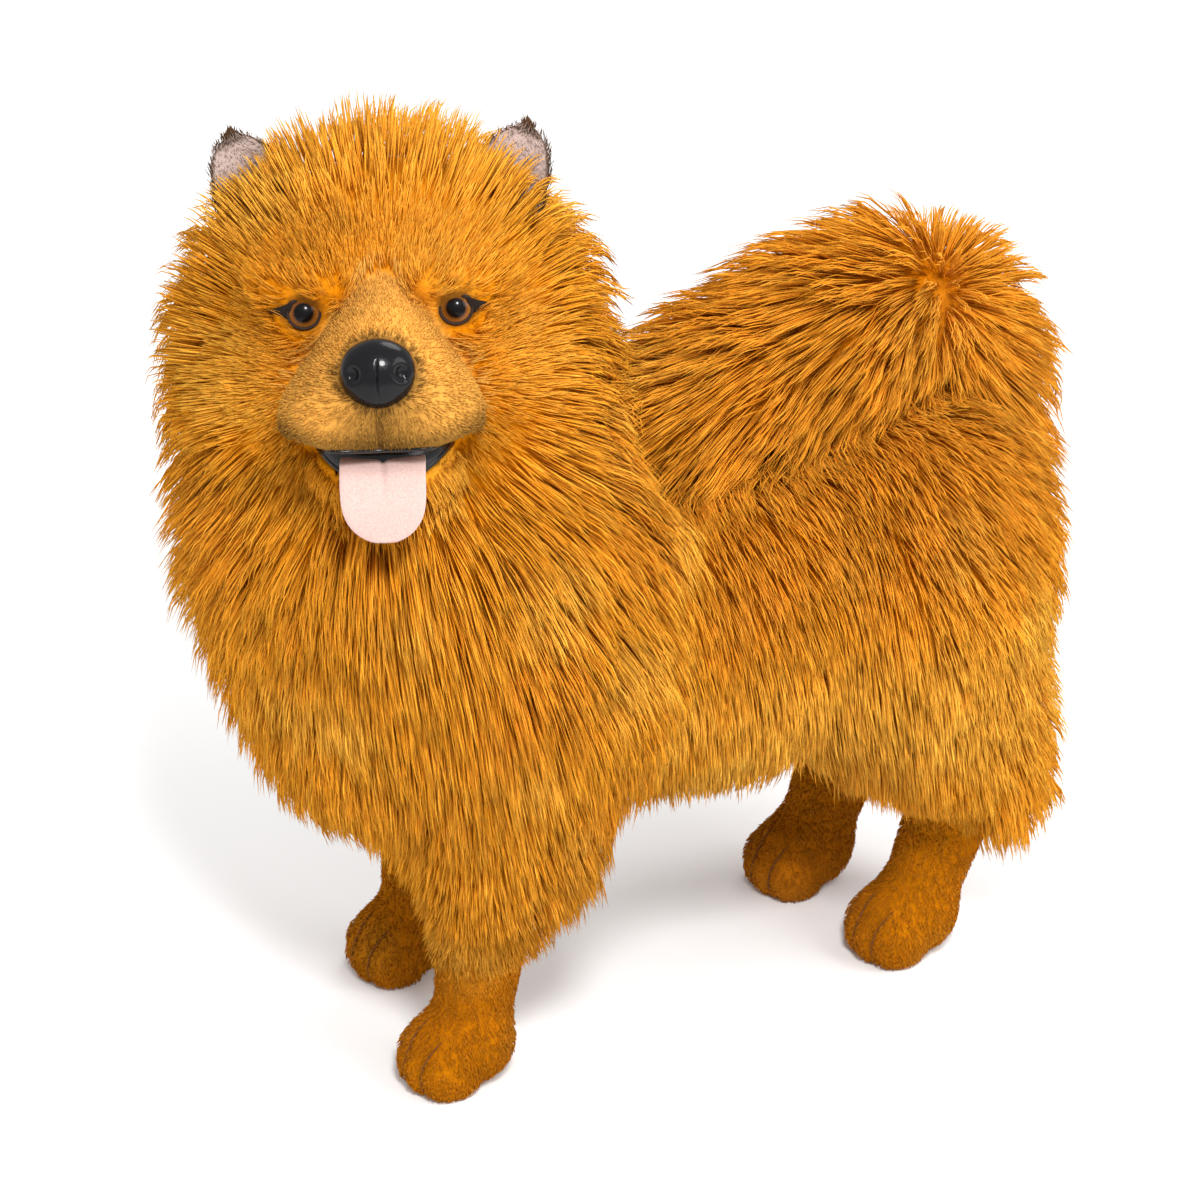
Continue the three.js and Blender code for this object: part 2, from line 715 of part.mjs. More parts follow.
function makePaw(leg, grow = 0) {
  const { pair, x, y } = leg;
  const fore = pair === "fore";
  const field = shortPlush((p) => blend(leg.form(p), pawForm(p, x, y), 10), grow);
  const line = fore
    ? [[x, y + 12, 96], [x, y + 7, 50], [x, y - 4, 22]]
    : [[x, y + 28, 90], [x, y + 18, 58], [x, y - 2, 22]];
  const shell = wrap({ field, line, sides: 12, rings: 3, ends: 3, facing: [1, 0, 0], reach: 60 });
  const low = halfSpace(shell, [x, y, SEAM_Z[pair]], [0, 0, -1], grow);
  return low.trimByPlane([0, 0, 1], grow ? -grow : 0);
}

// The nodes in order: each is cut clear of those before it that it touches
const SLOTS = {
  long_plush: new THREE.MeshStandardMaterial({ color: "#d48c2c", roughness: 0.95 }),
  short_plush: new THREE.MeshStandardMaterial({ color: "#c8802c", roughness: 0.9 }),
  plastic: new THREE.MeshStandardMaterial({ color: "#15110f", roughness: 0.12 }),
  eye: new THREE.MeshStandardMaterial({ color: "#3a2010", roughness: 0.08 }),
  felt: new THREE.MeshStandardMaterial({ color: "#e0a3a3", roughness: 0.85 }),
  lining: new THREE.MeshStandardMaterial({ color: "#1c1614", roughness: 0.4 }),
};
const nodes = new Map();

function part(name, slot, maker, clearOf = []) {
  nodes.set(name, { name, slot, maker, clearOf });
}

part("nose", "plastic", makeNose);
part("eye_left", "eye", (g) => makeEye("left", g));
part("eye_right", "eye", (g) => makeEye("right", g));
part("head", "long_plush", makeHead, ["eye_left", "eye_right"]);
part("muzzle", "short_plush", makeMuzzle, ["head", "nose"]);
part("tongue", "felt", makeTongue, ["head"]);
part("mouth_lining", "lining", makeLining, ["head", "tongue"]);
part("jaw", "short_plush", makeJaw, ["head", "tongue"]);
part("ear_left", "short_plush", (g) => makeEar("left", g), ["head"]);
part("ear_right", "short_plush", (g) => makeEar("right", g), ["head"]);
part("neck", "long_plush", makeNeck, ["head", "jaw", "tongue", "muzzle", "mouth_lining"]);
for (const length of TAIL_PARTS)
  part(length.name, "long_plush", (g) => makeTail(length, g), ["neck", "head"]);
nodes.get("tail_bend").clearOf.push("tail_base");
nodes.get("tail_plume").clearOf.push("tail_base", "tail_bend");
part("torso", "long_plush", makeTorso, ["neck", ...TAIL_PARTS.map((t) => t.name)]);
for (const leg of LEGS)
  part(`${leg.pair}leg_${leg.side}`, "long_plush", (g) => makeLeg(leg, g), ["torso", "neck"]);
for (const leg of LEGS) {
  const name = `${leg.pair}paw_${leg.side}`;
  part(name, "short_plush", (g) => makePaw(leg, g), [name.replace("paw", "leg"), "torso"]);
}

// The space a node takes with its gap around it. Where a lock folds on itself the grown lock
// may not cover it, so the finished solid is added too.
function roomFor(node) {
  node.room ??= node.maker(GAP).add(node.solid);
  return node.room;
}

const toy = new THREE.Group();
toy.name = "plush_chow_chow";
for (const node of nodes.values()) {
  let solid = node.maker(0);
  const others = node.clearOf.map((other) => nodes.get(other));
  for (const other of others) solid = solid.subtract(roomFor(other));
  solid = solid.simplify(FINEST);
  // points that nearly touch are joined first, as that can pinch a small piece off
  node.solid = biggest(solidOf(geometryOf(biggest(solid))));
  const geometry = geometryOf(node.solid.translate([...ORIGIN_SHIFT, 0]));
  geometry.computeVertexNormals();
  const mesh = new THREE.Mesh(geometry, SLOTS[node.slot]);
  mesh.name = node.name;
  toy.add(mesh);
}

export default toy;
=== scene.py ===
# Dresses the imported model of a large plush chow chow: stuffed skin, long and short pile,
# moulded eyes and nose, felt tongue, lined mouth, ears and sewn toes.
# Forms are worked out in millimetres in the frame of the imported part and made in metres.
import math

import bpy
import numpy as np
from mathutils import Matrix, Vector
from mathutils.kdtree import KDTree


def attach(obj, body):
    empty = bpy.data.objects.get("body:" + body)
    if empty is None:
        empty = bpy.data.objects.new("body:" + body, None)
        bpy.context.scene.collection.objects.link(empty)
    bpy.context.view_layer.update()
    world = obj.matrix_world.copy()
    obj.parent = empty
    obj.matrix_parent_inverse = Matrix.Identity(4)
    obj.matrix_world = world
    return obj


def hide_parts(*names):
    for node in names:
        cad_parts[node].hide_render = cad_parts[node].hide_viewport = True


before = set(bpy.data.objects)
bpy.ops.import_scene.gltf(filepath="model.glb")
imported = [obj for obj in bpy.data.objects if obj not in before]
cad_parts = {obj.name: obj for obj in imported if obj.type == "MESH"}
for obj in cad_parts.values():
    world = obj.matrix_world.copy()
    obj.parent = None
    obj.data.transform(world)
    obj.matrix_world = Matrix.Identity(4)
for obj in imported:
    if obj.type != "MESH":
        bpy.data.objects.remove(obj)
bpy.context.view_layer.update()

MM = 0.001
RNG = np.random.default_rng(7)

# The part's own dimensions, in millimetres
SHIFT = np.array([0.0, 5.1, 0.0])
HEAD = np.array([-5.5, -133.5, 373.5])
HEAD_TURN, HEAD_LIFT, HEAD_ROLL = (math.radians(a) for a in (65, 19, 1.5))
SIDES = (("left", 1), ("right", -1))
PAW_X = {"fore": 54, "hind": 42}
PAW_Y = {"fore": {"left": -128, "right": -110}, "hind": {"left": 130, "right": 115}}
TAIL_COAT = 32.0
SEAM_Z = 84.0
EYE = {"x": 34, "y": -58, "z": 14, "radius": 9.3}
NOSE = {"y": -113, "z": -11, "width": 33, "height": 30.5, "depth": 23}
EAR = {"x": 54, "y": 6, "z": 58, "height": 40, "width": 40, "lean": 24}
EAR_ROWS, EAR_COLUMNS = 22, 27
TONGUE_WIDTH = 38
LIP_Z = -46.5
LIP_RISE = 7.0
LOWER_LIP = {"x": 37, "z": -40.5, "drop": 25}
TAIL = [
    (0, 162, 262, 24),
    (2, 172, 298, 23),
    (6, 156, 333, 24),
    (13, 120, 347, 26),
    (18, 76, 338, 26),
    (23, 28, 320, 24),
    (27, -10, 306, 18),
    (29, -30, 298, 12),
]

TAIL_CREST = np.array([20.0, 140.0, 345.0])

# The coat
CELL = 3.4
LONG_STRANDS = 106000
SHORT_STRANDS = 42000
STRANDS_A_PIECE = 12000
TUFT_PATCH = 0.003

# Colours, linear
GOLD = np.array([0.69, 0.236, 0.003])
PALE = np.array([0.85, 0.440, 0.055])
# Painted shade: deep brown for the inner sides of the legs and the underside of the trunk
PAINTED_SHADE_BROWN = np.array([0.42, 0.125, 0.006])
UMBER = np.array([0.050, 0.022, 0.008])
TAN = np.array([0.69, 0.345, 0.070])
ORANGE = np.array([0.62, 0.182, 0.002])
RUSSET = np.array([0.37, 0.112, 0.002])
EAR_INSIDE = np.array([0.41, 0.31, 0.275])
EAR_RIM = np.array([0.060, 0.028, 0.014])
# Painted shade deep in the pile: it darkens the roots of the strands and the skin under long pile
ROOT_SHADE = np.array([0.86, 0.78, 0.66])
UNDER_PILE = 0.3


# Axes of the head: x to its left, y to its back, z up
def head_axes():
    ahead = np.array(
        [
            math.sin(HEAD_TURN) * math.cos(HEAD_LIFT),
            -math.cos(HEAD_TURN) * math.cos(HEAD_LIFT),
            math.sin(HEAD_LIFT),
        ]
    )
    left = np.array([math.cos(HEAD_TURN), math.sin(HEAD_TURN), 0])
    up = np.cross(ahead, left)
    c, s = math.cos(HEAD_ROLL), math.sin(HEAD_ROLL)
    return np.stack([left * c + up * s, -ahead, up * c - left * s], axis=1)


AXES = head_axes()
AHEAD = -AXES[:, 1]


def at_head(*spot):
    return HEAD + AXES @ np.array(spot, float)


def in_head(p):
    return (p - HEAD) @ AXES


# Distance fields on arrays of points: negative inside, positive outside
def ball(p, centre, radii, axes=None):
    q = p - np.asarray(centre, float)
    if axes is not None:
        q = q @ axes
    radii = np.asarray(radii, float)
    near = np.linalg.norm(q / radii, axis=1)
    slope = np.linalg.norm(q / radii**2, axis=1)
    return near * (near - 1) / np.maximum(slope, 1e-9)


def head_ball(p, x, y, z, radii):
    return ball(p, at_head(x, y, z), radii, AXES)


def cone(p, a, b, ra, rb):
    a, b = np.asarray(a, float), np.asarray(b, float)
    ba = b - a
    pa = p - a
    l2 = ba @ ba
    rr = ra - rb
    a2 = l2 - rr * rr
    y = pa @ ba
    z = y - l2
    side = pa * l2 - y[:, None] * ba
    x2 = np.einsum("ij,ij->i", side, side)
    k = np.sign(rr) * rr * rr * x2
    past = np.sign(z) * a2 * z * z * l2 > k
    before = np.sign(y) * a2 * y * y * l2 < k
    body = (np.sqrt(x2 * a2 / l2) + y * rr) / l2 - ra
    end = np.sqrt(x2 + z * z * l2) / l2 - rb
    start = np.sqrt(x2 + y * y * l2) / l2 - ra
    return np.where(past, end, np.where(before, start, body))


def blend(a, b, k):
    h = np.maximum(k - np.abs(a - b), 0) / k
    return np.minimum(a, b) - h * h * k / 4


def ramp(v, lo, hi):
    t = np.clip((v - lo) / (hi - lo), 0, 1)
    return t * t * (3 - 2 * t)


def head_form(p):
    d = head_ball(p, 0, 12, 6, (68, 72, 64))
    for s in (1, -1):
        d = blend(d, head_ball(p, 38 * s, -22, -24, (36, 42, 36)), 22)
        d = blend(d, head_ball(p, 26 * s, -42, 24, (27, 22, 17)), 16)
    return d


def muzzle_form(p):
    d = head_ball(p, 0, -66, -24, (36, 44, 30))
    for s in (1, -1):
        d = blend(d, head_ball(p, 18 * s, -88, -32, (25, 26, 22)), 10)
    d = blend(d, head_ball(p, 0, -74, -6, (17, 36, 16)), 12)
    return blend(d, cone(in_head(p), (0, -70, -4), (0, -54, 15), 21, 12), 10)


def jaw_form(p):
    return head_ball(p, 0, -58, -50, (31, 36, 21))


def upper_lip(x):
    """Height of the upper lip across the mouth: it rises towards both corners."""
    return LIP_Z + LIP_RISE * np.clip(np.abs(x) / 38, 0, 1.3) ** 2.5


def over_lip_of(h):
    """Height over the upper lip, of points in the head's frame."""
    return h[:, 2] - upper_lip(h[:, 0])


def lower_lip(x):
    """Height of the lower lip across the mouth: low in the middle, up at both corners."""
    return LOWER_LIP["z"] - LOWER_LIP["drop"] * np.clip(1 - (np.abs(x) / LOWER_LIP["x"]) ** 1.5, 0, 1)


def neck_form(p):
    upper = cone(p, at_head(0, 22, -14), (-4, -118, 262), 74, 82)
    return blend(upper, cone(p, (0, -116, 240), (0, -128, 190), 80, 58), 30)


def trunk_form(p):
    d = cone(p, (0, -90, 218), (0, 20, 214), 82, 77)
    d = blend(d, cone(p, (0, 20, 214), (0, 112, 224), 75, 76), 30)
    return blend(d, ball(p, (0, 122, 216), (80, 80, 80)), 20)


def fore_form(p, s, y):
    x = PAW_X["fore"] * s
    upper = cone(p, (56 * s, -92, 206), (x, y + 18, 128), 44, 28)
    return blend(upper, cone(p, (x, y + 18, 128), (x, y + 7, 42), 26, 18), 10)


def hind_form(p, s, y):
    x = PAW_X["hind"] * s
    d = cone(p, (48 * s, 112, 200), (x + 4 * s, y + 12, 130), 54, 38)
    d = blend(d, cone(p, (x + 3 * s, y + 14, 128), (x, y + 29, 92), 36, 24), 14)
    return blend(d, cone(p, (x, y + 29, 92), (x, y + 8, 34), 22, 18), 10)


LEGS = [
    (pair, side, PAW_X[pair] * s, PAW_Y[pair][side], s)
    for pair in ("fore", "hind")
    for side, s in SIDES
]
TOES = (-15.5, -5.2, 5.2, 15.5)


def leg_form(p, leg):
    pair, _, _, y, s = leg
    return fore_form(p, s, y) if pair == "fore" else hind_form(p, s, y)


def paw_form(p, leg):
    _, _, x, y, _ = leg
    d = cone(p, (x, y + 4, 22), (x, y - 6, 19), 20, 19)
    for off in TOES:
        back = 4.5 if abs(off) > 10 else 0
        toe = ball(p, (x + off * 0.92, y - 16 + back, 13), (7.4, 13, 13))
        d = blend(d, toe, 3)
    return d


def tail_form(p):
    d = np.full(len(p), 1e9)
    for a, b in zip(TAIL, TAIL[1:]):
        d = blend(d, cone(p, a[:3], b[:3], a[3], b[3]), 14)
    return d


def body_form(p):
    d = blend(blend(head_form(p), neck_form(p), 18), trunk_form(p), 24)
    for leg in LEGS:
        d = blend(d, leg_form(p, leg), 18)
    return d


def skin_field(p):
    """The stuffed skin of the whole toy, under its pile."""
    h = in_head(p)
    d = blend(body_form(p), tail_form(p), 6)
    for s in (1, -1):
        q = h - (EYE["x"] * s, EYE["y"] - 2.0, EYE["z"])
        socket = np.hypot(np.hypot(q[:, 0], q[:, 2]) - 10.4, q[:, 1]) - 3.4
        d = blend(d, socket, 7)
        brow = cone(h, (22 * s, -67, 25), (48 * s, -57, 25), 5.8, 5.0)
        d = blend(d, brow, 8)
    muzzle = np.maximum(muzzle_form(p) - 2.0, -over_lip_of(h))
    jaw = np.maximum(jaw_form(p), h[:, 2] - lower_lip(h[:, 0]))
    d = blend(d, muzzle, 2)
    d = blend(d, jaw, 3)
    for leg in LEGS:
        d = blend(d, paw_form(p, leg) - 2.0, 8)
    return np.maximum(d, 0.3 - p[:, 2])


def slope(field, p, step=0.6):
    d = field(p)
    g = np.stack([field(p + step * np.eye(3)[i]) - d for i in range(3)], axis=1)
    return g / np.maximum(np.linalg.norm(g, axis=1, keepdims=True), 1e-9), d


def hem_of(p):
    """Height at which the long pile of a leg ends: lower behind than before on the hind legs."""
    return SEAM_Z + 20 * ramp(p[:, 1], 60, 90) * (1 - ramp(p[:, 1], 138, 160))


def coat_depth(p):
    """How far the tips of the pile stand above the skin, by place."""
    h = in_head(p)
    mane = ramp(-cone(p, at_head(0, 10, -5), (0, -100, 235), 78, 84), -40, -8)
    depth = 26 + 17 * mane * ramp(p[:, 2], 150, 230)
    above = p[:, 2] - hem_of(p)
    reach = 46 + 44 * (p[:, 1] < 0)
    t = np.clip((above + 18) / (reach + 18), 0, 1)
    depth = 4 + (depth - 4) * t * t * (3 - 2 * t)
    low = 1 - ramp(p[:, 2], 140, 175)
    feather = ramp(p[:, 1], -112, -84) * (1 - ramp(p[:, 1], -60, -40)) * low
    hock = ramp(p[:, 1], 132, 160) * (1 - ramp(p[:, 2], 110, 140))
    depth = depth + 12 * feather * ramp(p[:, 2], 60, 95) + 9 * hock * ramp(p[:, 2], 40, 70)
    rise = h[:, 2] + 12
    off_face = np.hypot(h[:, 0], np.where(rise < 0, rise * 1.28, rise * 0.97))
    face = ramp(-h[:, 1], 2, 34) * (1 - ramp(off_face, 50, 102))
    depth = depth + (5 - depth) * face
    for s in (1, -1):
        by_ear = np.linalg.norm(h - (EAR["x"] * s, EAR["y"] - 8, EAR["z"] - 4), axis=1)
        depth = depth * (1 - 0.12 * np.exp(-((by_ear / 22) ** 2)))
    on_tail = ramp(body_form(p) - tail_form(p), 0, 10)
    return depth + (TAIL_COAT - depth) * on_tail


def lie_of(p):
    """The way the pile lies, by place."""
    h = in_head(p)
    from_face = np.stack([h[:, 0], h[:, 0] * 0, h[:, 2] + 14], axis=1)
    from_face /= np.maximum(np.linalg.norm(from_face, axis=1, keepdims=True), 1e-6)
    from_face[:, 1] = 0.75
    over_head = from_face @ AXES.T
    down = np.array([0, 0.3, -1.0])
    back = ramp(h[:, 1], 0, 55)[:, None]
    on_head = over_head + (down - over_head) * back
    side = np.clip(p[:, 0] / 70, -1, 1)
    zero = side * 0
    on_chest = np.stack([0.3 * side, zero + 0.1, zero - 1], axis=1)
    on_back = np.stack([0.5 * side, 0.8 - 0.85 * np.abs(side), -0.1 - np.abs(side)], axis=1)
    d = on_chest + (on_back - on_chest) * ramp(p[:, 1], -110, -20)[:, None]
    on_leg = np.array([0, 0.12, -1.0])
    d = on_leg + (d - on_leg) * ramp(p[:, 2], 110, 170)[:, None]
    high = (ramp(p[:, 2], 285, 350) * ramp(-p[:, 1], 20, 70))[:, None]
    d = d + (on_head - d) * high
    spots = np.array([t[:3] for t in TAIL], float)
    near = np.argmin(np.linalg.norm(p[:, None] - spots[None], axis=2), axis=1)
    near = np.clip(near, 1, len(TAIL) - 2)
    along = spots[near + 1] - spots[near - 1]
    along /= np.linalg.norm(along, axis=1, keepdims=True)
    from_crest = p - TAIL_CREST
    from_crest /= np.maximum(np.linalg.norm(from_crest, axis=1, keepdims=True), 1e-6)
    ahead_of = ramp(-p[:, 1], -120, -60)[:, None]
    on_tail = from_crest + along * 0.5 * ahead_of + np.array([0, 0, -0.3])
    is_tail = (tail_form(p) < body_form(p))[:, None]
    return np.where(is_tail, on_tail, d)


def sweep_of(p, depth):
    """How far along the skin a tuft of some depth leans, by place."""
    h = in_head(p)
    lean = 6 + 1.0 * depth
    on_tail = tail_form(p) < body_form(p)
    off_crest = np.linalg.norm(p - TAIL_CREST, axis=1)
    lean = np.where(on_tail, (12 + 1.25 * depth) * (0.25 + 0.75 * ramp(off_crest, 12, 52)), lean)
    crown = ramp(h[:, 2], 36, 62) * (1 - ramp(h[:, 1], 0, 40)) * (np.linalg.norm(h, axis=1) < 130)
    return lean * (1 - 0.45 * crown)


# Meshes
def paint(mesh, colour):
    """Stores a colour at each point of a mesh, for its material to read."""
    tint = mesh.attributes.new("Tint", "FLOAT_COLOR", "POINT")
    rgba = np.concatenate([colour, np.ones((len(colour), 1))], axis=1)
    tint.data.foreach_set("color", rgba.astype(np.float32).ravel())


def new_mesh(name, verts, faces, mat, uv=None, colour=None):
    """A mesh object from millimetre points in the part's frame and faces of one size."""
    faces = np.asarray(faces, np.int32)
    count, size = faces.shape
    mesh = bpy.data.meshes.new(name)
    mesh.vertices.add(len(verts))
    mesh.vertices.foreach_set("co", ((np.asarray(verts) + SHIFT) * MM).astype(np.float32).ravel())
    mesh.loops.add(count * size)
    mesh.loops.foreach_set("vertex_index", faces.ravel())
    mesh.polygons.add(count)
    mesh.polygons.foreach_set("loop_start", np.arange(0, count * size, size, dtype=np.int32))
    mesh.polygons.foreach_set("use_smooth", np.full(count, True))
    if uv is not None:
        layer = mesh.uv_layers.new(name="OFBake")
        layer.data.foreach_set("uv", uv[faces.ravel()].astype(np.float32).ravel())
    if colour is not None:
        paint(mesh, colour)
    mesh.update(calc_edges=True)
    mesh.validate()
    mesh.materials.append(mat)
    obj = bpy.data.objects.new(name, mesh)
    bpy.context.scene.collection.objects.link(obj)
    return obj


def settle(obj, slot, *nodes):
    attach(obj, "root")
    if nodes:
        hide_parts(*nodes)
    return obj


def surface_net(field, lo, hi, cell):
    """Points and quads of a field's zero surface, one point to each cell that it crosses."""
    lo, hi = np.asarray(lo, float), np.asarray(hi, float)
    n = np.ceil((hi - lo) / cell).astype(int) + 1
    step = 4
    coarse_n = np.ceil(n / step).astype(int) + 1
    grids = [lo[i] + cell * step * np.arange(coarse_n[i]) for i in range(3)]
    coarse = field(np.stack(np.meshgrid(*grids, indexing="ij"), -1).reshape(-1, 3))
    coarse = coarse.reshape(coarse_n)
    spread = coarse.repeat(step, 0).repeat(step, 1).repeat(step, 2)[: n[0], : n[1], : n[2]].copy()
    close = np.abs(spread) < cell * step * 2.2
    where = np.argwhere(close)
    spread[close] = field(lo + where * cell)
    inside = spread < 0
    cells = n - 1
    total = np.zeros((*cells, 3))
    hits = np.zeros(cells)
    corner = [slice(None, -1), slice(1, None)]
    for axis in range(3):
        others = [i for i in range(3) if i != axis]
        for u in (0, 1):
            for v in (0, 1):
                pick = [None] * 3
                pick[others[0]], pick[others[1]] = corner[u], corner[v]
                pick[axis] = corner[0]
                d0 = spread[tuple(pick)]
                pick[axis] = corner[1]
                d1 = spread[tuple(pick)]
                cross = (d0 < 0) != (d1 < 0)
                spot = np.zeros((*cells, 3))
                spot[..., axis] = np.where(cross, d0 / np.where(cross, d0 - d1, 1), 0)
                spot[..., others[0]], spot[..., others[1]] = u, v
                total += spot * cross[..., None]
                hits += cross
    used = hits > 0
    index = np.full(cells, -1)
    index[used] = np.arange(used.sum())
    verts = lo + (np.argwhere(used) + total[used] / hits[used][:, None]) * cell
    quads = []
    for axis in range(3):
        u, v = [i for i in range(3) if i != axis]
        a = inside.take(range(0, n[axis] - 1), axis)
        b = inside.take(range(1, n[axis]), axis)
        edge = np.argwhere(a != b)
        eu, ev = edge[:, u], edge[:, v]
        edge = edge[(eu > 0) & (ev > 0) & (eu < cells[u]) & (ev < cells[v])]
        out = a[tuple(edge.T)]
        eu, ev = np.eye(3, dtype=int)[u], np.eye(3, dtype=int)[v]
        ring = [index[tuple((edge - o).T)] for o in (eu * 0, eu, eu + ev, ev)]
        quad = np.stack(ring, 1)
        flip = out if axis != 1 else ~out
        quad[flip] = quad[flip][:, ::-1]
        quads.append(quad[:, ::-1])
    return verts, np.concatenate(quads)


def cast_out(start, ways, reach=160.0):
    """Where rays from an inner point first leave the skin."""
    start = np.asarray(start, float)
    steps = np.linspace(0, reach, 161)
    pts = start + ways[:, None] * steps[None, :, None]
    d = skin_field(pts.reshape(-1, 3)).reshape(len(ways), -1)
    out = np.argmax((d[:, 1:] >= 0) & (d[:, :-1] < 0), axis=1)
    row = np.arange(len(ways))
    d0, d1 = d[row, out], d[row, out + 1]
    t = d0 / np.where(np.abs(d0 - d1) > 1e-9, d0 - d1, 1)
    r = steps[out] + t * (steps[1] - steps[0])
    return start + ways * r[:, None]


def tube(points, radius, sides=8):
    """Points and quads of a round tube along a line, open at both ends."""
    points = np.asarray(points, float)
    n = len(points)
    radius = np.broadcast_to(radius, n).astype(float)
    along = np.gradient(points, axis=0)
    along /= np.linalg.norm(along, axis=1, keepdims=True)
    guide = np.array([0.31, 0.21, 0.93])
    e1 = np.cross(along, guide)
    e1 /= np.linalg.norm(e1, axis=1, keepdims=True)
    e2 = np.cross(along, e1)
    a = np.linspace(0, 2 * math.pi, sides, endpoint=False)
    ring = e1[:, None] * np.cos(a)[None, :, None] + e2[:, None] * np.sin(a)[None, :, None]
    verts = (points[:, None] + ring * radius[:, None, None]).reshape(-1, 3)
    i, j = np.meshgrid(np.arange(n - 1), np.arange(sides), indexing="ij")
    k = (j + 1) % sides
    quads = np.stack([i * sides + j, (i + 1) * sides + j, (i + 1) * sides + k, i * sides + k], -1)
    return verts, quads.reshape(-1, 4)[:, ::-1]


def join(parts):
    verts, faces, base = [], [], 0
    for v, f in parts:
        verts.append(v)
        faces.append(np.asarray(f) + base)
        base += len(v)
    return np.concatenate(verts), np.concatenate(faces)


# Materials
def material(name):
    mat = bpy.data.materials.new(name)
    mat.use_nodes = True
    nodes = mat.node_tree.nodes
    return mat, nodes, mat.node_tree.links, nodes["Principled BSDF"]


def set_inputs(node, values):
    for socket, value in values.items():
        node.inputs[socket].default_value = value


def noise(nodes, links, scale, detail):
    place = nodes.new("ShaderNodeTexCoord")
    tex = nodes.new("ShaderNodeTexNoise")
    set_inputs(tex, {"Scale": scale, "Detail": detail})
    links.new(place.outputs["Object"], tex.inputs["Vector"])
    return tex


def bump(nodes, links, height, shader, strength, distance):
    node = nodes.new("ShaderNodeBump")
    set_inputs(node, {"Strength": strength, "Distance": distance})
    links.new(height, node.inputs["Height"])
    links.new(node.outputs["Normal"], shader.inputs["Normal"])


def vary(nodes, links, colour, factor, low, high):
    """Scales a colour between two brightnesses by a 0 to 1 factor."""
    span = nodes.new("ShaderNodeMapRange")
    set_inputs(span, {"From Min": 0.3, "From Max": 0.7, "To Min": low, "To Max": high})
    links.new(factor, span.inputs["Value"])
    scale = nodes.new("ShaderNodeVectorMath")
    scale.operation = "SCALE"
    links.new(colour, scale.inputs[0])
    links.new(span.outputs["Result"], scale.inputs["Scale"])
    return scale.outputs["Vector"]


def pile_material(name, roughness, sheen, fine):
    """Plush: its tint is painted on the mesh, and noise varies it from hair to hair."""
    mat, nodes, links, shader = material(name)
    tint = nodes.new("ShaderNodeAttribute")
    tint.attribute_name = "Tint"
    patches = noise(nodes, links, 38.0, 3.0)
    hairs = noise(nodes, links, fine, 5.0)
    colour = vary(nodes, links, tint.outputs["Color"], patches.outputs["Fac"], 0.86, 1.12)
    colour = vary(nodes, links, colour, hairs.outputs["Fac"], 0.84, 1.14)
    links.new(colour, shader.inputs["Base Color"])
    set_inputs(shader, {
        "Roughness": roughness, "Specular IOR Level": 0.0, "Sheen Weight": sheen,
        "Sheen Roughness": 0.45, "Sheen Tint": (1.0, 0.55, 0.12, 1),
    })
    bump(nodes, links, hairs.outputs["Fac"], shader, 0.5, 0.0006)
    return mat


def plain_material(name, colour, roughness, scale, depth, sheen=0.0):
    """Felt, suede, thread or plastic: one colour, with a grain in its tone and its relief."""
    mat, nodes, links, shader = material(name)
    base = nodes.new("ShaderNodeRGB")
    base.outputs[0].default_value = (*colour, 1)
    grain = noise(nodes, links, scale, 6.0)
    shade = vary(nodes, links, base.outputs[0], grain.outputs["Fac"], 0.88, 1.1)
    links.new(shade, shader.inputs["Base Color"])
    shader.inputs["Roughness"].default_value = roughness
    if roughness > 0.5:
        shader.inputs["Specular IOR Level"].default_value = 0.1
    shader.inputs["Sheen Weight"].default_value = sheen
    bump(nodes, links, grain.outputs["Fac"], shader, 0.6, depth)
    return mat, shader


def eye_material():
    """A moulded eye: black pupil, streaked amber ring and dark rim under a clear gloss."""
    mat, nodes, links, shader = material("moulded_eye")
    place = nodes.new("ShaderNodeTexCoord")
    split = nodes.new("ShaderNodeSeparateXYZ")
    links.new(place.outputs["Object"], split.inputs[0])
    flat = nodes.new("ShaderNodeCombineXYZ")
    links.new(split.outputs["X"], flat.inputs["X"])
    links.new(split.outputs["Z"], flat.inputs["Y"])
    far = nodes.new("ShaderNodeVectorMath")
    far.operation = "LENGTH"
    links.new(flat.outputs[0], far.inputs[0])
    turn = nodes.new("ShaderNodeMath")
    turn.operation = "ARCTAN2"
    links.new(split.outputs["X"], turn.inputs[0])
    links.new(split.outputs["Z"], turn.inputs[1])
    spoke = nodes.new("ShaderNodeCombineXYZ")
    links.new(turn.outputs[0], spoke.inputs["X"])
    streaks = nodes.new("ShaderNodeTexNoise")
    set_inputs(streaks, {"Scale": 14.0, "Detail": 4.0})
    links.new(spoke.outputs[0], streaks.inputs["Vector"])
    share = nodes.new("ShaderNodeMapRange")
    share.inputs["From Max"].default_value = EYE["radius"] * MM
    links.new(far.outputs["Value"], share.inputs["Value"])
    rings = nodes.new("ShaderNodeValToRGB")
    stops = [
        (0.0, (0.002, 0.002, 0.002)),
        (0.44, (0.003, 0.002, 0.002)),
        (0.50, (0.09, 0.030, 0.005)),
        (0.66, (0.24, 0.085, 0.012)),
        (0.78, (0.11, 0.036, 0.006)),
        (0.88, (0.006, 0.004, 0.003)),
    ]
    ramp_stops = rings.color_ramp.elements
    while len(ramp_stops) < len(stops):
        ramp_stops.new(0.5)
    for stop, (at, colour) in zip(ramp_stops, stops):
        stop.position = at
        stop.color = (*colour, 1)
    links.new(share.outputs["Result"], rings.inputs["Fac"])
    shade = vary(nodes, links, rings.outputs["Color"], streaks.outputs["Fac"], 0.65, 1.35)
    links.new(shade, shader.inputs["Base Color"])
    set_inputs(shader, {
        "Roughness": 0.35, "Specular IOR Level": 0.05, "Coat Weight": 0.22,
        "Coat Roughness": 0.02,
    })
    return mat


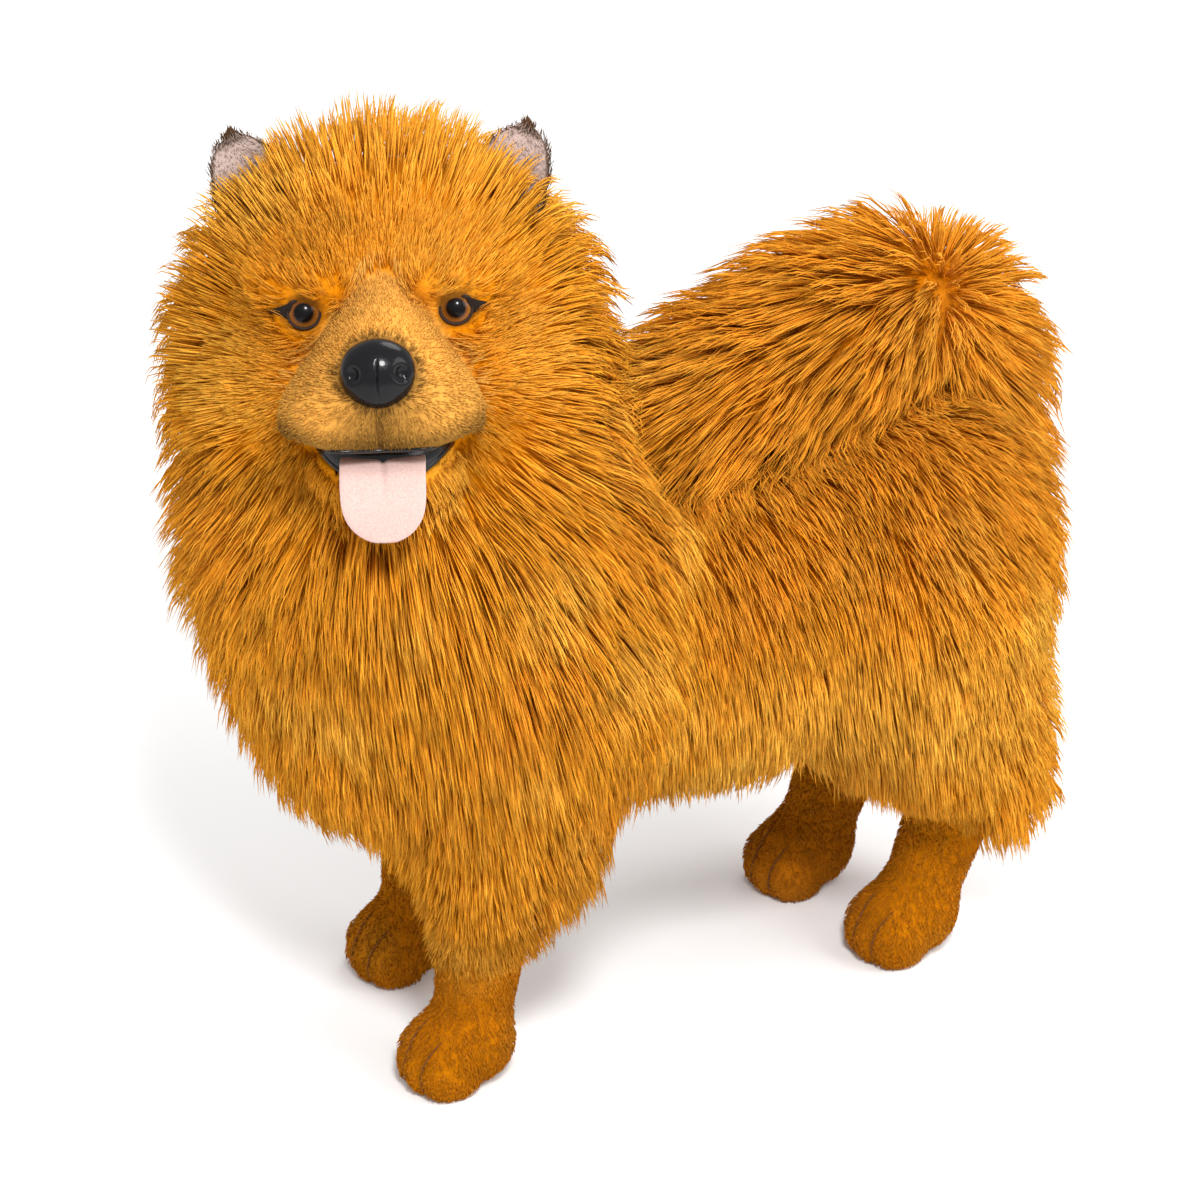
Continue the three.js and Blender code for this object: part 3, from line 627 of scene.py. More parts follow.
LONG_PILE = pile_material("long_pile", 0.62, 0.12, 900.0)
SHORT_PLUSH = pile_material("short_plush_pile", 0.75, 0.12, 1400.0)
BACKING = pile_material("backing_cloth", 0.9, 0.08, 700.0)
EAR_PLUSH = pile_material("ear_plush", 0.85, 0.05, 900.0)
EYE_GLOSS = eye_material()
NOSE_PLASTIC, shader = plain_material("nose_plastic", (0.006, 0.006, 0.007), 0.22, 900.0, 0.00010)
set_inputs(shader, {"Specular IOR Level": 0.1, "Coat Weight": 0.14, "Coat Roughness": 0.06})
FELT, _ = plain_material("tongue_felt", (0.56, 0.385, 0.345), 0.9, 1100.0, 0.0004, sheen=0.02)
LINING, shader = plain_material("mouth_lining_cloth", (0.006, 0.005, 0.005), 0.25, 700.0, 0.0001)
set_inputs(shader, {"Specular IOR Level": 0.2, "Coat Weight": 0.2})
LID, _ = plain_material("lid_suede", (0.030, 0.018, 0.014), 0.6, 1500.0, 0.0002)
PATCH, _ = plain_material("corner_felt", (0.016, 0.011, 0.009), 0.9, 1300.0, 0.0003, sheen=0.02)
# Dark seam thread, partly the seam and partly painted shade in the toe grooves
GROOVE_SHADE_THREAD, _ = plain_material("seam_thread_groove_shade", (0.16, 0.055, 0.012), 0.8, 2500.0, 0.0002)


# Markings and painted shade, laid alike on the skin and on the pile
def patchy(p, size, turn):
    """Slow waves of tone across the coat, from 0 to 1."""
    a = np.sin(p @ np.array([0.9, 0.5, 0.3]) / size + turn)
    b = np.sin(p @ np.array([-0.4, 0.8, 0.7]) / size * 1.3 + 2.1 * turn)
    c = np.sin(p @ np.array([0.3, -0.7, 0.9]) / size * 1.7 + 3.7 * turn)
    return 0.5 + (a * b + b * c + c * a) / 6 + (a + b + c) / 12


def markings_and_shade(p):
    h = in_head(p)
    colour = np.tile(GOLD, (len(p), 1))

    def lay(tint, share):
        nonlocal colour
        share = np.clip(share, 0, 1)[:, None]
        colour = colour + (tint - colour) * share

    lay(PALE, ramp(patchy(p, 17.0, 0.7), 0.5, 0.85) * 0.4)
    lay(ORANGE, ramp(patchy(p, 26.0, 2.9), 0.5, 0.8) * 0.5)
    flank = ramp(p[:, 1], -40, 20) * ramp(p[:, 2], 130, 170) * (1 - ramp(p[:, 2], 205, 240))
    lay(PALE, flank * 0.35)
    saddle = ramp(p[:, 1], -20, 30) * ramp(p[:, 2], 225, 265) * (tail_form(p) > 6)
    lay(ORANGE, saddle * 0.6)
    low = 1 - ramp(p[:, 2], 60, 120)
    lay(RUSSET, low * 0.75)
    # Painted shade: the inner sides of the legs are darker, where the body shades them
    inner = ramp(-np.abs(p[:, 0]), -40, -15) * (1 - ramp(p[:, 2], 120, 190))
    lay(PAINTED_SHADE_BROWN, inner * 0.5)
    over_lip = over_lip_of(h)
    muzzle = (1 - ramp(muzzle_form(p), 2.5, 7.0)) * (h[:, 1] < -30) * (over_lip > -1)
    brow = (1 - ramp(np.hypot(h[:, 0], h[:, 2] - 22), 40, 62)) * ramp(-h[:, 1], 20, 45)
    lay(ORANGE, brow * 0.5)
    # Painted shade: darker along the underside of the trunk
    shade_under_belly = (1 - ramp(p[:, 2], 145, 195)) * (1 - ramp(np.abs(p[:, 1]), 80, 125))
    lay(PAINTED_SHADE_BROWN, shade_under_belly * 0.5)
    lay(TAN, muzzle * 0.85)
    nose_gap = np.linalg.norm((h - (0, NOSE["y"] + 4, NOSE["z"])) / (20, 17, 18), axis=1)
    lay(UMBER, muzzle * (1 - ramp(nose_gap, 0.85, 1.1)) * 0.8)
    lay(UMBER, muzzle * (1 - ramp(over_lip, 1, 13)) * 0.7)
    under = muzzle * ramp(-h[:, 1], 80, 92) * (1 - ramp(h[:, 2], -30, -14))
    lay(UMBER, under * (1 - ramp(np.abs(h[:, 0]), 5, 28)) * 0.55)
    split = (np.abs(h[:, 0]) < 1.3) & (h[:, 2] < -30) & (h[:, 1] < -85)
    lay(UMBER, split * muzzle * 0.6)
    for s in (1, -1):
        off = np.hypot((h[:, 0] - EYE["x"] * s), h[:, 2] - EYE["z"])
        lay(UMBER, (1 - ramp(off, 7.5, 10.5)) * (h[:, 1] < -40) * 0.75)
    crown = ramp(h[:, 2], 30, 60) * (h[:, 1] < 20)
    lay(PALE, crown * 0.15)
    return colour


# The stuffed skin
skin_points, skin_quads = surface_net(skin_field, (-140, -250, -4), (140, 250, 480), CELL)
for _ in range(2):
    normals, dist = slope(skin_field, skin_points)
    skin_points = skin_points - normals * np.clip(dist, -CELL, CELL)[:, None]
under = UNDER_PILE * np.maximum(coat_depth(skin_points) - 7, 0)
skin_points = skin_points + slope(skin_field, skin_points)[0] * under[:, None]
used = np.unique(skin_quads)
renumber = np.full(len(skin_points), -1)
renumber[used] = np.arange(len(used))
skin_points, skin_quads = skin_points[used], renumber[skin_quads]
# Painted shade: the skin is a little darker overall, and darker still where long pile covers it
pile_shade = ramp(coat_depth(skin_points), 7, 20)[:, None]
skin_tint = markings_and_shade(skin_points) * (0.9 + (ROOT_SHADE * 0.85 - 0.9) * pile_shade)
skin = new_mesh("plush_skin", skin_points, skin_quads, BACKING, colour=skin_tint)
bpy.context.view_layer.objects.active = skin
skin.select_set(True)
bpy.ops.object.mode_set(mode="EDIT")
bpy.ops.mesh.select_all(action="SELECT")
bpy.ops.uv.smart_project(angle_limit=math.radians(60), island_margin=0.002)
bpy.ops.object.mode_set(mode="OBJECT")
skin.select_set(False)
skin.data.uv_layers[0].name = "OFBake"
settle(
    skin, "long_plush",
    "head", "neck", "torso", "tail_base", "tail_bend", "tail_plume", "muzzle", "jaw",
    *(f"{pair}{part}_{side}" for pair, side, *_ in LEGS for part in ("leg", "paw")),
)


# Roots of the pile, drawn evenly over the skin
skin_uv = np.empty(len(skin.data.loops) * 2, np.float32)
skin.data.uv_layers["OFBake"].data.foreach_get("uv", skin_uv)
skin_uv = skin_uv.reshape(-1, 4, 2)
quad_corners = skin_points[skin_quads]


def near_eye(p):
    h = in_head(p)
    hit = np.zeros(len(p), bool)
    for s in (1, -1):
        q = h - (EYE["x"] * s, EYE["y"], EYE["z"])
        inside = (np.hypot(q[:, 0], q[:, 2]) < 8.2) & (h[:, 1] < -20)
        out = q[:, 0] * s
        wedge = (out > 0) & (out < 14) & (np.abs(q[:, 2] - 1) < 3.6 * (1 - out / 14)) & (h[:, 1] < -10)
        hit |= inside | wedge
    return hit


def bare_place(p):
    h = in_head(p)
    under_nose = np.linalg.norm((h - (0, NOSE["y"] + 4, NOSE["z"])) / (16.5, 16, 14.5), axis=1) < 1
    in_mouth = (h[:, 2] < upper_lip(h[:, 0]) + 1.0) & (h[:, 2] > lower_lip(h[:, 0]) - 1.5)
    mouth = in_mouth & (h[:, 1] < -50) & (np.abs(h[:, 0]) < LOWER_LIP["x"] + 1)
    sole = p[:, 2] < 1.5
    return near_eye(p) | under_nose | mouth | sole


def crosses_bare(centres):
    """Strands that would lie over an eye, the nose or the open mouth."""
    h = in_head(centres.reshape(-1, 3)).reshape(centres.shape)
    hit = np.zeros(h.shape[:2], bool)
    for s in (1, -1):
        off = np.hypot(h[..., 0] - EYE["x"] * s, h[..., 2] - EYE["z"])
        hit |= (off < 7.6) & (h[..., 1] < -50)
    off = np.hypot(h[..., 0] / 15.5, (h[..., 2] - NOSE["z"]) / 13.5)
    hit |= (off < 1) & (h[..., 1] < -96)
    low = lower_lip(h[..., 0])
    high = upper_lip(h[..., 0])
    open_part = (h[..., 2] < high) & (h[..., 2] > low + 1) & (h[..., 1] < -56)
    hit |= open_part & (np.abs(h[..., 0]) < LOWER_LIP["x"])
    hit |= (h[..., 2] < LIP_Z) & (h[..., 2] > -84) & (h[..., 1] < -97) & (np.abs(h[..., 0]) < 18)
    return hit.any(axis=1)


def short_place(p):
    """Where the plush is short: muzzle, chin and lower legs."""
    h = in_head(p)
    on_muzzle = (muzzle_form(p) < 3.2) & (h[:, 1] < -34)
    return on_muzzle | (p[:, 2] < hem_of(p) - 10)


def draw_roots(count, wanted):
    a, b, c, d = (quad_corners[:, i] for i in range(4))
    area = np.linalg.norm(np.cross(c - a, d - b), axis=1) / 2
    centre = quad_corners.mean(axis=1)
    weight = area * wanted(centre)
    picks = RNG.choice(len(area), count, p=weight / weight.sum())
    s, t = RNG.random((2, count))
    w = np.stack([(1 - s) * (1 - t), s * (1 - t), s * t, (1 - s) * t], axis=1)
    spots = np.einsum("nk,nkd->nd", w, quad_corners[picks])
    uv = np.einsum("nk,nkd->nd", w, skin_uv[picks])
    keep = ~bare_place(spots)
    return spots[keep], uv[keep]


def march(roots, length, depth, stations):
    """Paths of tufts: each follows the lie of the pile and rises to its depth."""
    path = [roots]
    p = roots.copy()
    for k in range(1, stations):
        t = k / (stations - 1)
        normal, _ = slope(skin_field, p)
        way = lie_of(p)
        way = way - np.einsum("ij,ij->i", way, normal)[:, None] * normal
        flat = np.linalg.norm(way, axis=1, keepdims=True)
        way = way / np.maximum(flat, 1e-6) * np.clip(flat / 0.35, 0, 1)
        p = p + way * (length / (stations - 1))[:, None]
        normal, d = slope(skin_field, p)
        height = depth * (1 - (1 - t) ** 1.6)
        p = p + normal * (height - d)[:, None]
        path.append(p)
    return np.stack(path, axis=1)


RING_TURN = np.arange(3) * 2 * math.pi / 3


def strand_mesh(centres, widths, shares, uv, tints):
    """Three-sided strands, drawn to a point at the root and the tip."""
    n, stations, _ = centres.shape
    along = np.gradient(centres, axis=1)
    along /= np.maximum(np.linalg.norm(along, axis=2, keepdims=True), 1e-6)
    guide = np.array([0.37, 0.55, 0.75])
    e1 = np.cross(along, guide)
    e1 /= np.maximum(np.linalg.norm(e1, axis=2, keepdims=True), 1e-6)
    e2 = np.cross(along, e1)
    turn = RING_TURN[None, None, :] + RNG.random((n, 1, 1)) * 2 * math.pi
    ring = e1[:, :, None] * np.cos(turn)[..., None] + e2[:, :, None] * np.sin(turn)[..., None]
    body = centres[:, 1:-1, None] + ring[:, 1:-1] * widths[:, 1:-1, None, None] / 2
    rings = stations - 2
    count = 3 * rings + 2
    verts = np.concatenate([centres[:, :1], body.reshape(n, -1, 3), centres[:, -1:]], axis=1)
    faces = [(0, 1 + j, 1 + (j + 1) % 3) for j in range(3)]
    for i in range(rings - 1):
        for j in range(3):
            a, b = 1 + 3 * i + j, 1 + 3 * i + (j + 1) % 3
            faces += [(a, a + 3, b), (b, a + 3, b + 3)]
    top = 1 + 3 * (rings - 1)
    faces += [(top + j, count - 1, top + (j + 1) % 3) for j in range(3)]
    faces = (np.arange(n)[:, None, None] * count + np.array(faces)[None]).reshape(-1, 3)
    station_of = np.array([0] + [1 + i for i in range(rings) for _ in range(3)] + [stations - 1])
    across = np.array([0.5] + [j / 3 for _ in range(rings) for j in range(3)] + [0.5])
    patch = np.stack([across, np.array(shares)[station_of]], axis=1)
    spread = (uv[:, None] + (patch[None] - 0.5) * TUFT_PATCH).reshape(-1, 2)
    colours = tints[:, station_of].reshape(-1, 3)
    return verts.reshape(-1, 3), faces[:, ::-1], np.clip(spread, 0, 1), colours


def nearest(points, others):
    tree = KDTree(len(others))
    for i, spot in enumerate(others):
        tree.insert(spot, i)
    tree.balance()
    return np.array([tree.find(spot)[1] for spot in points])


def clear_of_ears(roots, path):
    """Pile rooted before an ear stands before it, and pile rooted behind it stays behind."""
    h = in_head(path.reshape(-1, 3)).reshape(path.shape)
    root = in_head(roots)
    for s in (1, -1):
        off = np.hypot(h[..., 0] - (EAR["x"] + 9) * s, h[..., 2] - EAR["z"] - 18)
        by_ear = off < 32
        before = (root[:, 1] < EAR["y"] + 1)[:, None] & by_ear
        after = (root[:, 1] >= EAR["y"] + 1)[:, None] & by_ear
        h[..., 1] = np.where(before, np.minimum(h[..., 1], EAR["y"] - 7), h[..., 1])
        h[..., 1] = np.where(after, np.maximum(h[..., 1], EAR["y"] + 7), h[..., 1])
    return HEAD + h @ AXES.T


def grow_pile(roots, uv, clump_share, shares, width, pull, wander, long_pile):
    """Strands in clumps: each clump has a path, and its strands draw together to its tip."""
    n = len(roots)
    heads = RNG.choice(n, max(int(n * clump_share), 1), replace=False)
    home = nearest(roots, roots[heads])
    stations = 7 if long_pile else 4
    if long_pile:
        depth = coat_depth(roots[heads]) * RNG.uniform(0.76, 1.04, len(heads))
        length = sweep_of(roots[heads], depth) * RNG.uniform(0.85, 1.15, len(heads))
    else:
        depth = np.full(len(heads), 1.6)
        length = RNG.uniform(3.6, 5.4, len(heads))
    path = march(roots[heads], length, depth, stations)
    if long_pile:
        path = clear_of_ears(roots[heads], path)
    mine = path[home]
    reach = RNG.uniform(0.66, 1.0, n)
    offset = roots - roots[heads][home]
    sway = RNG.normal(0, 1, (n, 3))
    gather = RNG.uniform(pull[0], pull[1], len(heads))[home]
    row = np.arange(n)
    centres = []
    for share in shares:
        t = share * reach
        k = np.clip((t * (stations - 1)).astype(int), 0, stations - 2)
        f = t * (stations - 1) - k
        c = mine[row, k] * (1 - f)[:, None] + mine[row, k + 1] * f[:, None]
        keep = (1 - gather * t**1.1)[:, None]
        centres.append(c + offset * keep + sway * (wander * t**1.3)[:, None])
    centres = np.stack(centres, axis=1)
    normal, _ = slope(skin_field, roots)
    centres[:, 0] = roots - normal * 0.8
    centres[..., 2] = np.maximum(centres[..., 2], 0.9)
    fine = 0.55 + 0.45 * ramp(coat_depth(roots), 8, 24) if long_pile else 1.0
    base = width * fine * RNG.uniform(0.7, 1.2, n)
    widths = np.tile(base[:, None], (1, len(shares)))
    tone = markings_and_shade(roots)
    lift = RNG.uniform(0.90, 1.10, len(heads))[home] * RNG.uniform(0.92, 1.08, n)
    pale = RNG.beta(1.6, 4, n)[:, None]
    # Strands are darker at the root, painted shade deep in the pile, and paler at the tip, the pile's
    # own tone
    root_tint = tone * ROOT_SHADE
    strength = np.minimum(tone[:, :1] / GOLD[0], 1) * (1.0 if long_pile else 0.3)
    tip_tint = tone + (PALE - GOLD) * strength * (0.25 + 0.75 * pale)
    mix = np.array(shares)[None, :, None] ** 0.7
    tints = (root_tint[:, None] * (1 - mix) + tip_tint[:, None] * mix) * lift[:, None, None]
    keep = ~crosses_bare(centres[:, 1:])
    return strand_mesh(centres[keep], widths[keep], shares, uv[keep], np.clip(tints[keep], 0, 1))


def region_of(p):
    """The part of the toy that each root belongs to."""
    names = np.full(len(p), "torso", dtype=object)
    on_leg = p[:, 2] < 168
    for pair, side, x, y, s in LEGS:
        close = on_leg & (np.sign(p[:, 0]) == s) & (np.abs(p[:, 1] - y - 10) < 62)
        names[close] = f"{pair}leg_{side}"
    names[(p[:, 1] < -52) & (p[:, 2] >= 150)] = "neck"
    names[(p[:, 1] < -20) & (p[:, 2] > 325)] = "head"
    names[tail_form(p) < body_form(p)] = "tail_plume"
    return names


def make_pile(name, slot, mat, roots, uv, regions, **how):
    for region in sorted(set(regions)):
        chosen = np.flatnonzero(regions == region)
        for k, start in enumerate(range(0, len(chosen), STRANDS_A_PIECE)):
            some = chosen[start : start + STRANDS_A_PIECE]
            verts, faces, patches, tints = grow_pile(roots[some], uv[some], **how)
            piece = new_mesh(f"{name}_{region}_{k + 1}", verts, faces, mat, uv=patches, colour=tints)
            settle(piece, slot, region)


def long_share(p):
    """How closely the long pile stands: closer on the face and at the crest of the tail."""
    on_crest = np.exp(-((np.linalg.norm(p - TAIL_CREST, axis=1) / 32) ** 2))
    return np.where(short_place(p), 0.0, 1.0 + 2.2 * (coat_depth(p) < 12)) + 2.0 * on_crest


long_roots, long_uv = draw_roots(LONG_STRANDS, long_share)
make_pile(
    "pile", "long_plush", LONG_PILE, long_roots, long_uv, region_of(long_roots),
    clump_share=0.12, shares=(0.0, 0.36, 0.74, 1.0), width=0.7, pull=(0.05, 0.42), wander=1.3,
    long_pile=True,
)
short_roots, short_uv = draw_roots(SHORT_STRANDS, lambda p: np.where(short_place(p), 1.0, 0.0))


def short_region_of(p):
    names = np.full(len(p), "muzzle", dtype=object)
    for pair, side, x, y, s in LEGS:
        close = (p[:, 2] < 100) & (np.sign(p[:, 0]) == s) & (np.sign(p[:, 1]) == np.sign(y))
        names[close] = f"{pair}paw_{side}"
    return names


make_pile(
    "nap", "short_plush", SHORT_PLUSH, short_roots, short_uv, short_region_of(short_roots),
    clump_share=0.3, shares=(0.0, 0.45, 1.0), width=0.6, pull=(0.1, 0.3), wander=0.4,
    long_pile=False,
)


# Eyes, their lids and the felt at their outer corners
def head_matrix(spot):
    rot = Matrix([list(row) for row in AXES]).to_4x4()
    return Matrix.Translation(Vector((spot + SHIFT) * MM)) @ rot


def sphere(rings=24, sides=32):
    verts = [(0, 0, 1)]
    for i in range(1, rings):
        a = math.pi * i / rings
        for j in range(sides):
            b = 2 * math.pi * j / sides
            verts.append((math.sin(a) * math.cos(b), math.sin(a) * math.sin(b), math.cos(a)))
    verts.append((0, 0, -1))
    quads = [
        (1 + i * sides + j, 1 + (i + 1) * sides + j,
         1 + (i + 1) * sides + (j + 1) % sides, 1 + i * sides + (j + 1) % sides)
        for i in range(rings - 2) for j in range(sides)
    ]
    last = len(verts) - 1
    base = 1 + (rings - 2) * sides
    caps = [(0, 1 + j, 1 + (j + 1) % sides) for j in range(sides)]
    caps += [(last, base + (j + 1) % sides, base + j) for j in range(sides)]
    return np.array(verts, float), quads + caps


def loose_mesh(name, verts, faces, mat, matrix=None):
    """A mesh of faces of mixed sizes; with a matrix its points are local, in millimetres."""
    mesh = bpy.data.meshes.new(name)
    place = np.asarray(verts) * MM if matrix is not None else (np.asarray(verts) + SHIFT) * MM
    mesh.from_pydata([tuple(v) for v in place], [], [tuple(int(i) for i in f) for f in faces])
    mesh.polygons.foreach_set("use_smooth", np.full(len(mesh.polygons), True))
    mesh.update()
    mesh.materials.append(mat)
    obj = bpy.data.objects.new(name, mesh)
    if matrix is not None:
        obj.matrix_world = matrix
    bpy.context.scene.collection.objects.link(obj)
    return obj


ball_points, ball_faces = sphere()
for side, s in SIDES:
    spot = at_head(EYE["x"] * s, EYE["y"], EYE["z"])
    gaze = head_matrix(spot)
    eye = loose_mesh(f"eye_{side}_ball", ball_points * EYE["radius"], ball_faces, EYE_GLOSS, gaze)
    settle(eye, "eye", f"eye_{side}")
    turns = np.linspace(0, 2 * math.pi, 49)
    lid = np.stack([7.3 * np.cos(turns), 0 * turns, 6.9 * np.sin(turns) - 0.2], axis=1)
    lid[:, 1] = -np.sqrt((EYE["radius"] + 0.35) ** 2 - lid[:, 0] ** 2 - lid[:, 2] ** 2)
    # The dark lid is thicker along its top: partly the lid, partly painted shade of the brow over the
    # eye
    thick = 0.7 + 1.0 * np.clip(np.sin(turns), 0, 1)
    verts, quads = tube(lid, thick, 10)
    rim = loose_mesh(f"lid_{side}", verts, quads, LID, gaze)
    settle(rim, "short_plush")


def draped(outline, lift, thick, rows=10):
    """A thin piece of felt laid on the face: its outline is in the head's x and z."""
    outline = np.array(outline, float)
    middle = outline.mean(axis=0)
    rings = [middle + (outline - middle) * k / rows for k in range(1, rows + 1)]
    flat = np.concatenate([[middle], *rings])
    n = len(outline)
    starts = np.stack([flat[:, 0], np.full(len(flat), -10.0), flat[:, 1]], axis=1)
    pts = np.array([cast_out(at_head(*spot), AHEAD[None], 110)[0] for spot in starts])
    normal, _ = slope(skin_field, pts)
    fade = np.concatenate([[0], *[[k / rows] * n for k in range(1, rows + 1)]])
    swell = thick * np.sqrt(np.clip(1 - fade**6, 0, 1))
    top = pts + normal * (lift + swell)[:, None]
    under = pts + normal * (lift * 0.2)
    faces = [(0, 1 + j, 1 + (j + 1) % n) for j in range(n)]
    for k in range(rows - 1):
        a, b = 1 + k * n, 1 + (k + 1) * n
        faces += [(a + j, b + j, b + (j + 1) % n, a + (j + 1) % n) for j in range(n)]
    m = len(pts)
    faces += [tuple(m + i for i in reversed(f)) for f in faces]
    e = 1 + (rows - 1) * n
    faces += [(e + j, m + e + j, m + e + (j + 1) % n, e + (j + 1) % n) for j in range(n)]
    return np.concatenate([top, under]), faces


for side, s in SIDES:
    ex, ez = EYE["x"], EYE["z"]
    corner = [(ex + 5, ez + 5.0), (ex + 9, ez + 3.6), (ex + 13, ez + 2.3), (ex + 17, ez + 1.8),
              (ex + 16, ez + 0.9), (ex + 12, ez - 0.5), (ex + 9, ez - 2.0), (ex + 5, ez - 4.2)]
    corner = [(x * s, z) for x, z in corner]
    if s > 0:
        corner = corner[::-1]
    verts, faces = draped(corner, 0.8, 0.8)
    settle(loose_mesh(f"corner_felt_{side}", verts, faces, PATCH), "felt")


def ring_quads(rows, around):
    """Quads from each ring of points to the next."""
    i, j = np.meshgrid(np.arange(rows), np.arange(around), indexing="ij")
    k = (j + 1) % around
    near, far = i * around, (i + 1) * around
    return np.stack([near + j, near + k, far + k, far + j], -1).reshape(-1, 4)


# Nose: a rounded block, narrower below, with a groove and two nostrils
NOSE_ROWS, NOSE_ROUND = 60, 192
around = np.linspace(0, 2 * math.pi, NOSE_ROUND, endpoint=False)
u, v = np.meshgrid(around, np.linspace(0, math.pi, NOSE_ROWS + 1))
unit_ball = np.stack([np.sin(v) * np.cos(u), -np.cos(v), np.sin(v) * np.sin(u)], axis=-1)
unit_ball = unit_ball.reshape(-1, 3) / 2
x, y, z = unit_ball.T
taper = np.where(z < 0, 1 + z * 0.16, 1)
square = 1 + 0.35 * np.minimum(x * x, z * z)
nose = np.stack([x * taper * square * NOSE["width"], y * NOSE["depth"], z * NOSE["height"]], axis=1)
front = np.clip(-y * 2.4, 0, 1)
groove = np.exp(-((nose[:, 0] / 0.5) ** 2)) * ramp(-nose[:, 2], -7.5, -2.5) * front
dent = 0.75 * groove
for s in (1, -1):
    hole = ((nose[:, 0] - 10.6 * s) / 2.9) ** 2 + ((nose[:, 2] - 0.2) / 3.3) ** 2
    dent = dent + 3.6 * np.exp(-hole**1.5) * front
    comma = ((nose[:, 0] - 12.8 * s) / 2.4) ** 2 + ((nose[:, 2] + 3.4) / 1.6) ** 2
    dent = dent + 1.2 * np.exp(-comma) * front
nose[:, 1] += dent
nose_world = at_head(0, NOSE["y"], NOSE["z"]) + nose @ AXES.T
nose_quads = ring_quads(NOSE_ROWS, NOSE_ROUND)
settle(new_mesh("moulded_nose", nose_world, nose_quads, NOSE_PLASTIC), "plastic", "nose")


# Tongue: a felt tab with a crease, out of the mouth and down over the chin
TONGUE_ROWS, TONGUE_ROUND = 48, 96
TIP_START = 26
TONGUE_PATH = np.array(
    [
        (-50, -50, 0.80, 0),
        (-80, -50.5, 0.95, 4),
        (-96, -51, 1.00, 24),
        (-104.5, -57, 1.00, 62),
        (-106.5, -70, 1.00, 92),
        (-104.5, -78, 1.00, 104),
        (-102, -86, 1.00, 108),
    ]
)
fine = np.linspace(0, len(TONGUE_PATH) - 1, TONGUE_ROWS + 1)
stops = np.arange(len(TONGUE_PATH))
track = np.stack([np.interp(fine, stops, column) for column in TONGUE_PATH.T], axis=1)
smooth = np.array([0.25, 0.5, 0.25])
for _ in range(6):
    inner = sum(smooth[q] * track[q : len(track) - 2 + q] for q in range(3))
    track[1:-1] = inner
for q in range(TIP_START, len(track)):
    track[q, 2] *= math.sqrt(max(1 - ((q - TIP_START) / (len(track) - TIP_START)) ** 2.3, 0.004))
tongue_points = []
for row, (y0, z0, share, bend) in enumerate(track):
    a = math.radians(bend)
    crease = 1.5 * (1 - float(ramp(row, 20, 34)))
    for t in np.linspace(0, 2 * math.pi, TONGUE_ROUND, endpoint=False):
        across = math.cos(t) * TONGUE_WIDTH * share / 2
        h = math.sin(t) * 1.6
        if h > 0:
            h -= crease * math.exp(-((across / 1.3) ** 2))
        h += 1.3 * (across / (TONGUE_WIDTH / 2)) ** 2
        tongue_points.append((across, y0 - h * math.sin(a), z0 + h * math.cos(a)))
tongue_points = HEAD + np.array(tongue_points) @ AXES.T
tongue_faces = ring_quads(TONGUE_ROWS, TONGUE_ROUND).tolist()
tongue_faces += [range(TONGUE_ROUND - 1, -1, -1), range(TONGUE_ROWS * TONGUE_ROUND, len(tongue_points))]
settle(loose_mesh("tongue_tab", tongue_points, tongue_faces, FELT), "felt", "tongue")


# Lining of the mouth, and the dark edge of the lips
def mouth_space(p):
    h = in_head(p)
    inner = head_ball(p, 0, -59, -50, (32, 37, 22))
    top = over_lip_of(h) - 1.5
    return np.maximum(np.maximum(inner, top), lower_lip(h[:, 0]) - 1 - h[:, 2])


corners = np.array([at_head(x, y, z) for x in (-40, 40) for y in (-104, -15) for z in (-80, -44)])
lining, lining_quads = surface_net(mouth_space, corners.min(axis=0), corners.max(axis=0), 1.6)
settle(new_mesh("mouth_lining_cloth", lining, lining_quads, LINING), "lining", "mouth_lining")


def lip(angles, height, lift):
    turns = np.radians(angles)
    ways = np.stack([np.sin(turns), -np.cos(turns), turns * 0], axis=1) @ AXES.T
    spots = []
    for way, turn in zip(ways, turns):
        z = height(35 * math.sin(turn))
        spots.append(cast_out(at_head(0, -61, z), way[None], 70)[0])
    return np.array(spots) + ways * lift


span = np.linspace(-84, 84, 61)
lip_width = np.sqrt(np.clip(1 - np.linspace(-1, 1, 61) ** 8, 0.02, 1))
upper = tube(lip(span * 1.1, lambda x: upper_lip(x) + 1.3, -0.3), lip_width * 1.1, 8)
jaw_line = []
for turn in np.radians(span):
    z = float(lower_lip(np.array([33 * math.sin(turn)]))[0])
    cut = math.sqrt(max(1 - ((z + 50) / 22) ** 2, 0.1))
    jaw_line.append((31 * cut * math.sin(turn), -58 - 37 * cut * math.cos(turn), z))
lower = tube(HEAD + np.array(jaw_line) @ AXES.T, lip_width * 1.7, 10)
lip_points, lip_quads = join([upper, lower])
settle(loose_mesh("lip_edge", lip_points, lip_quads.tolist(), LINING), "lining", "jaw")


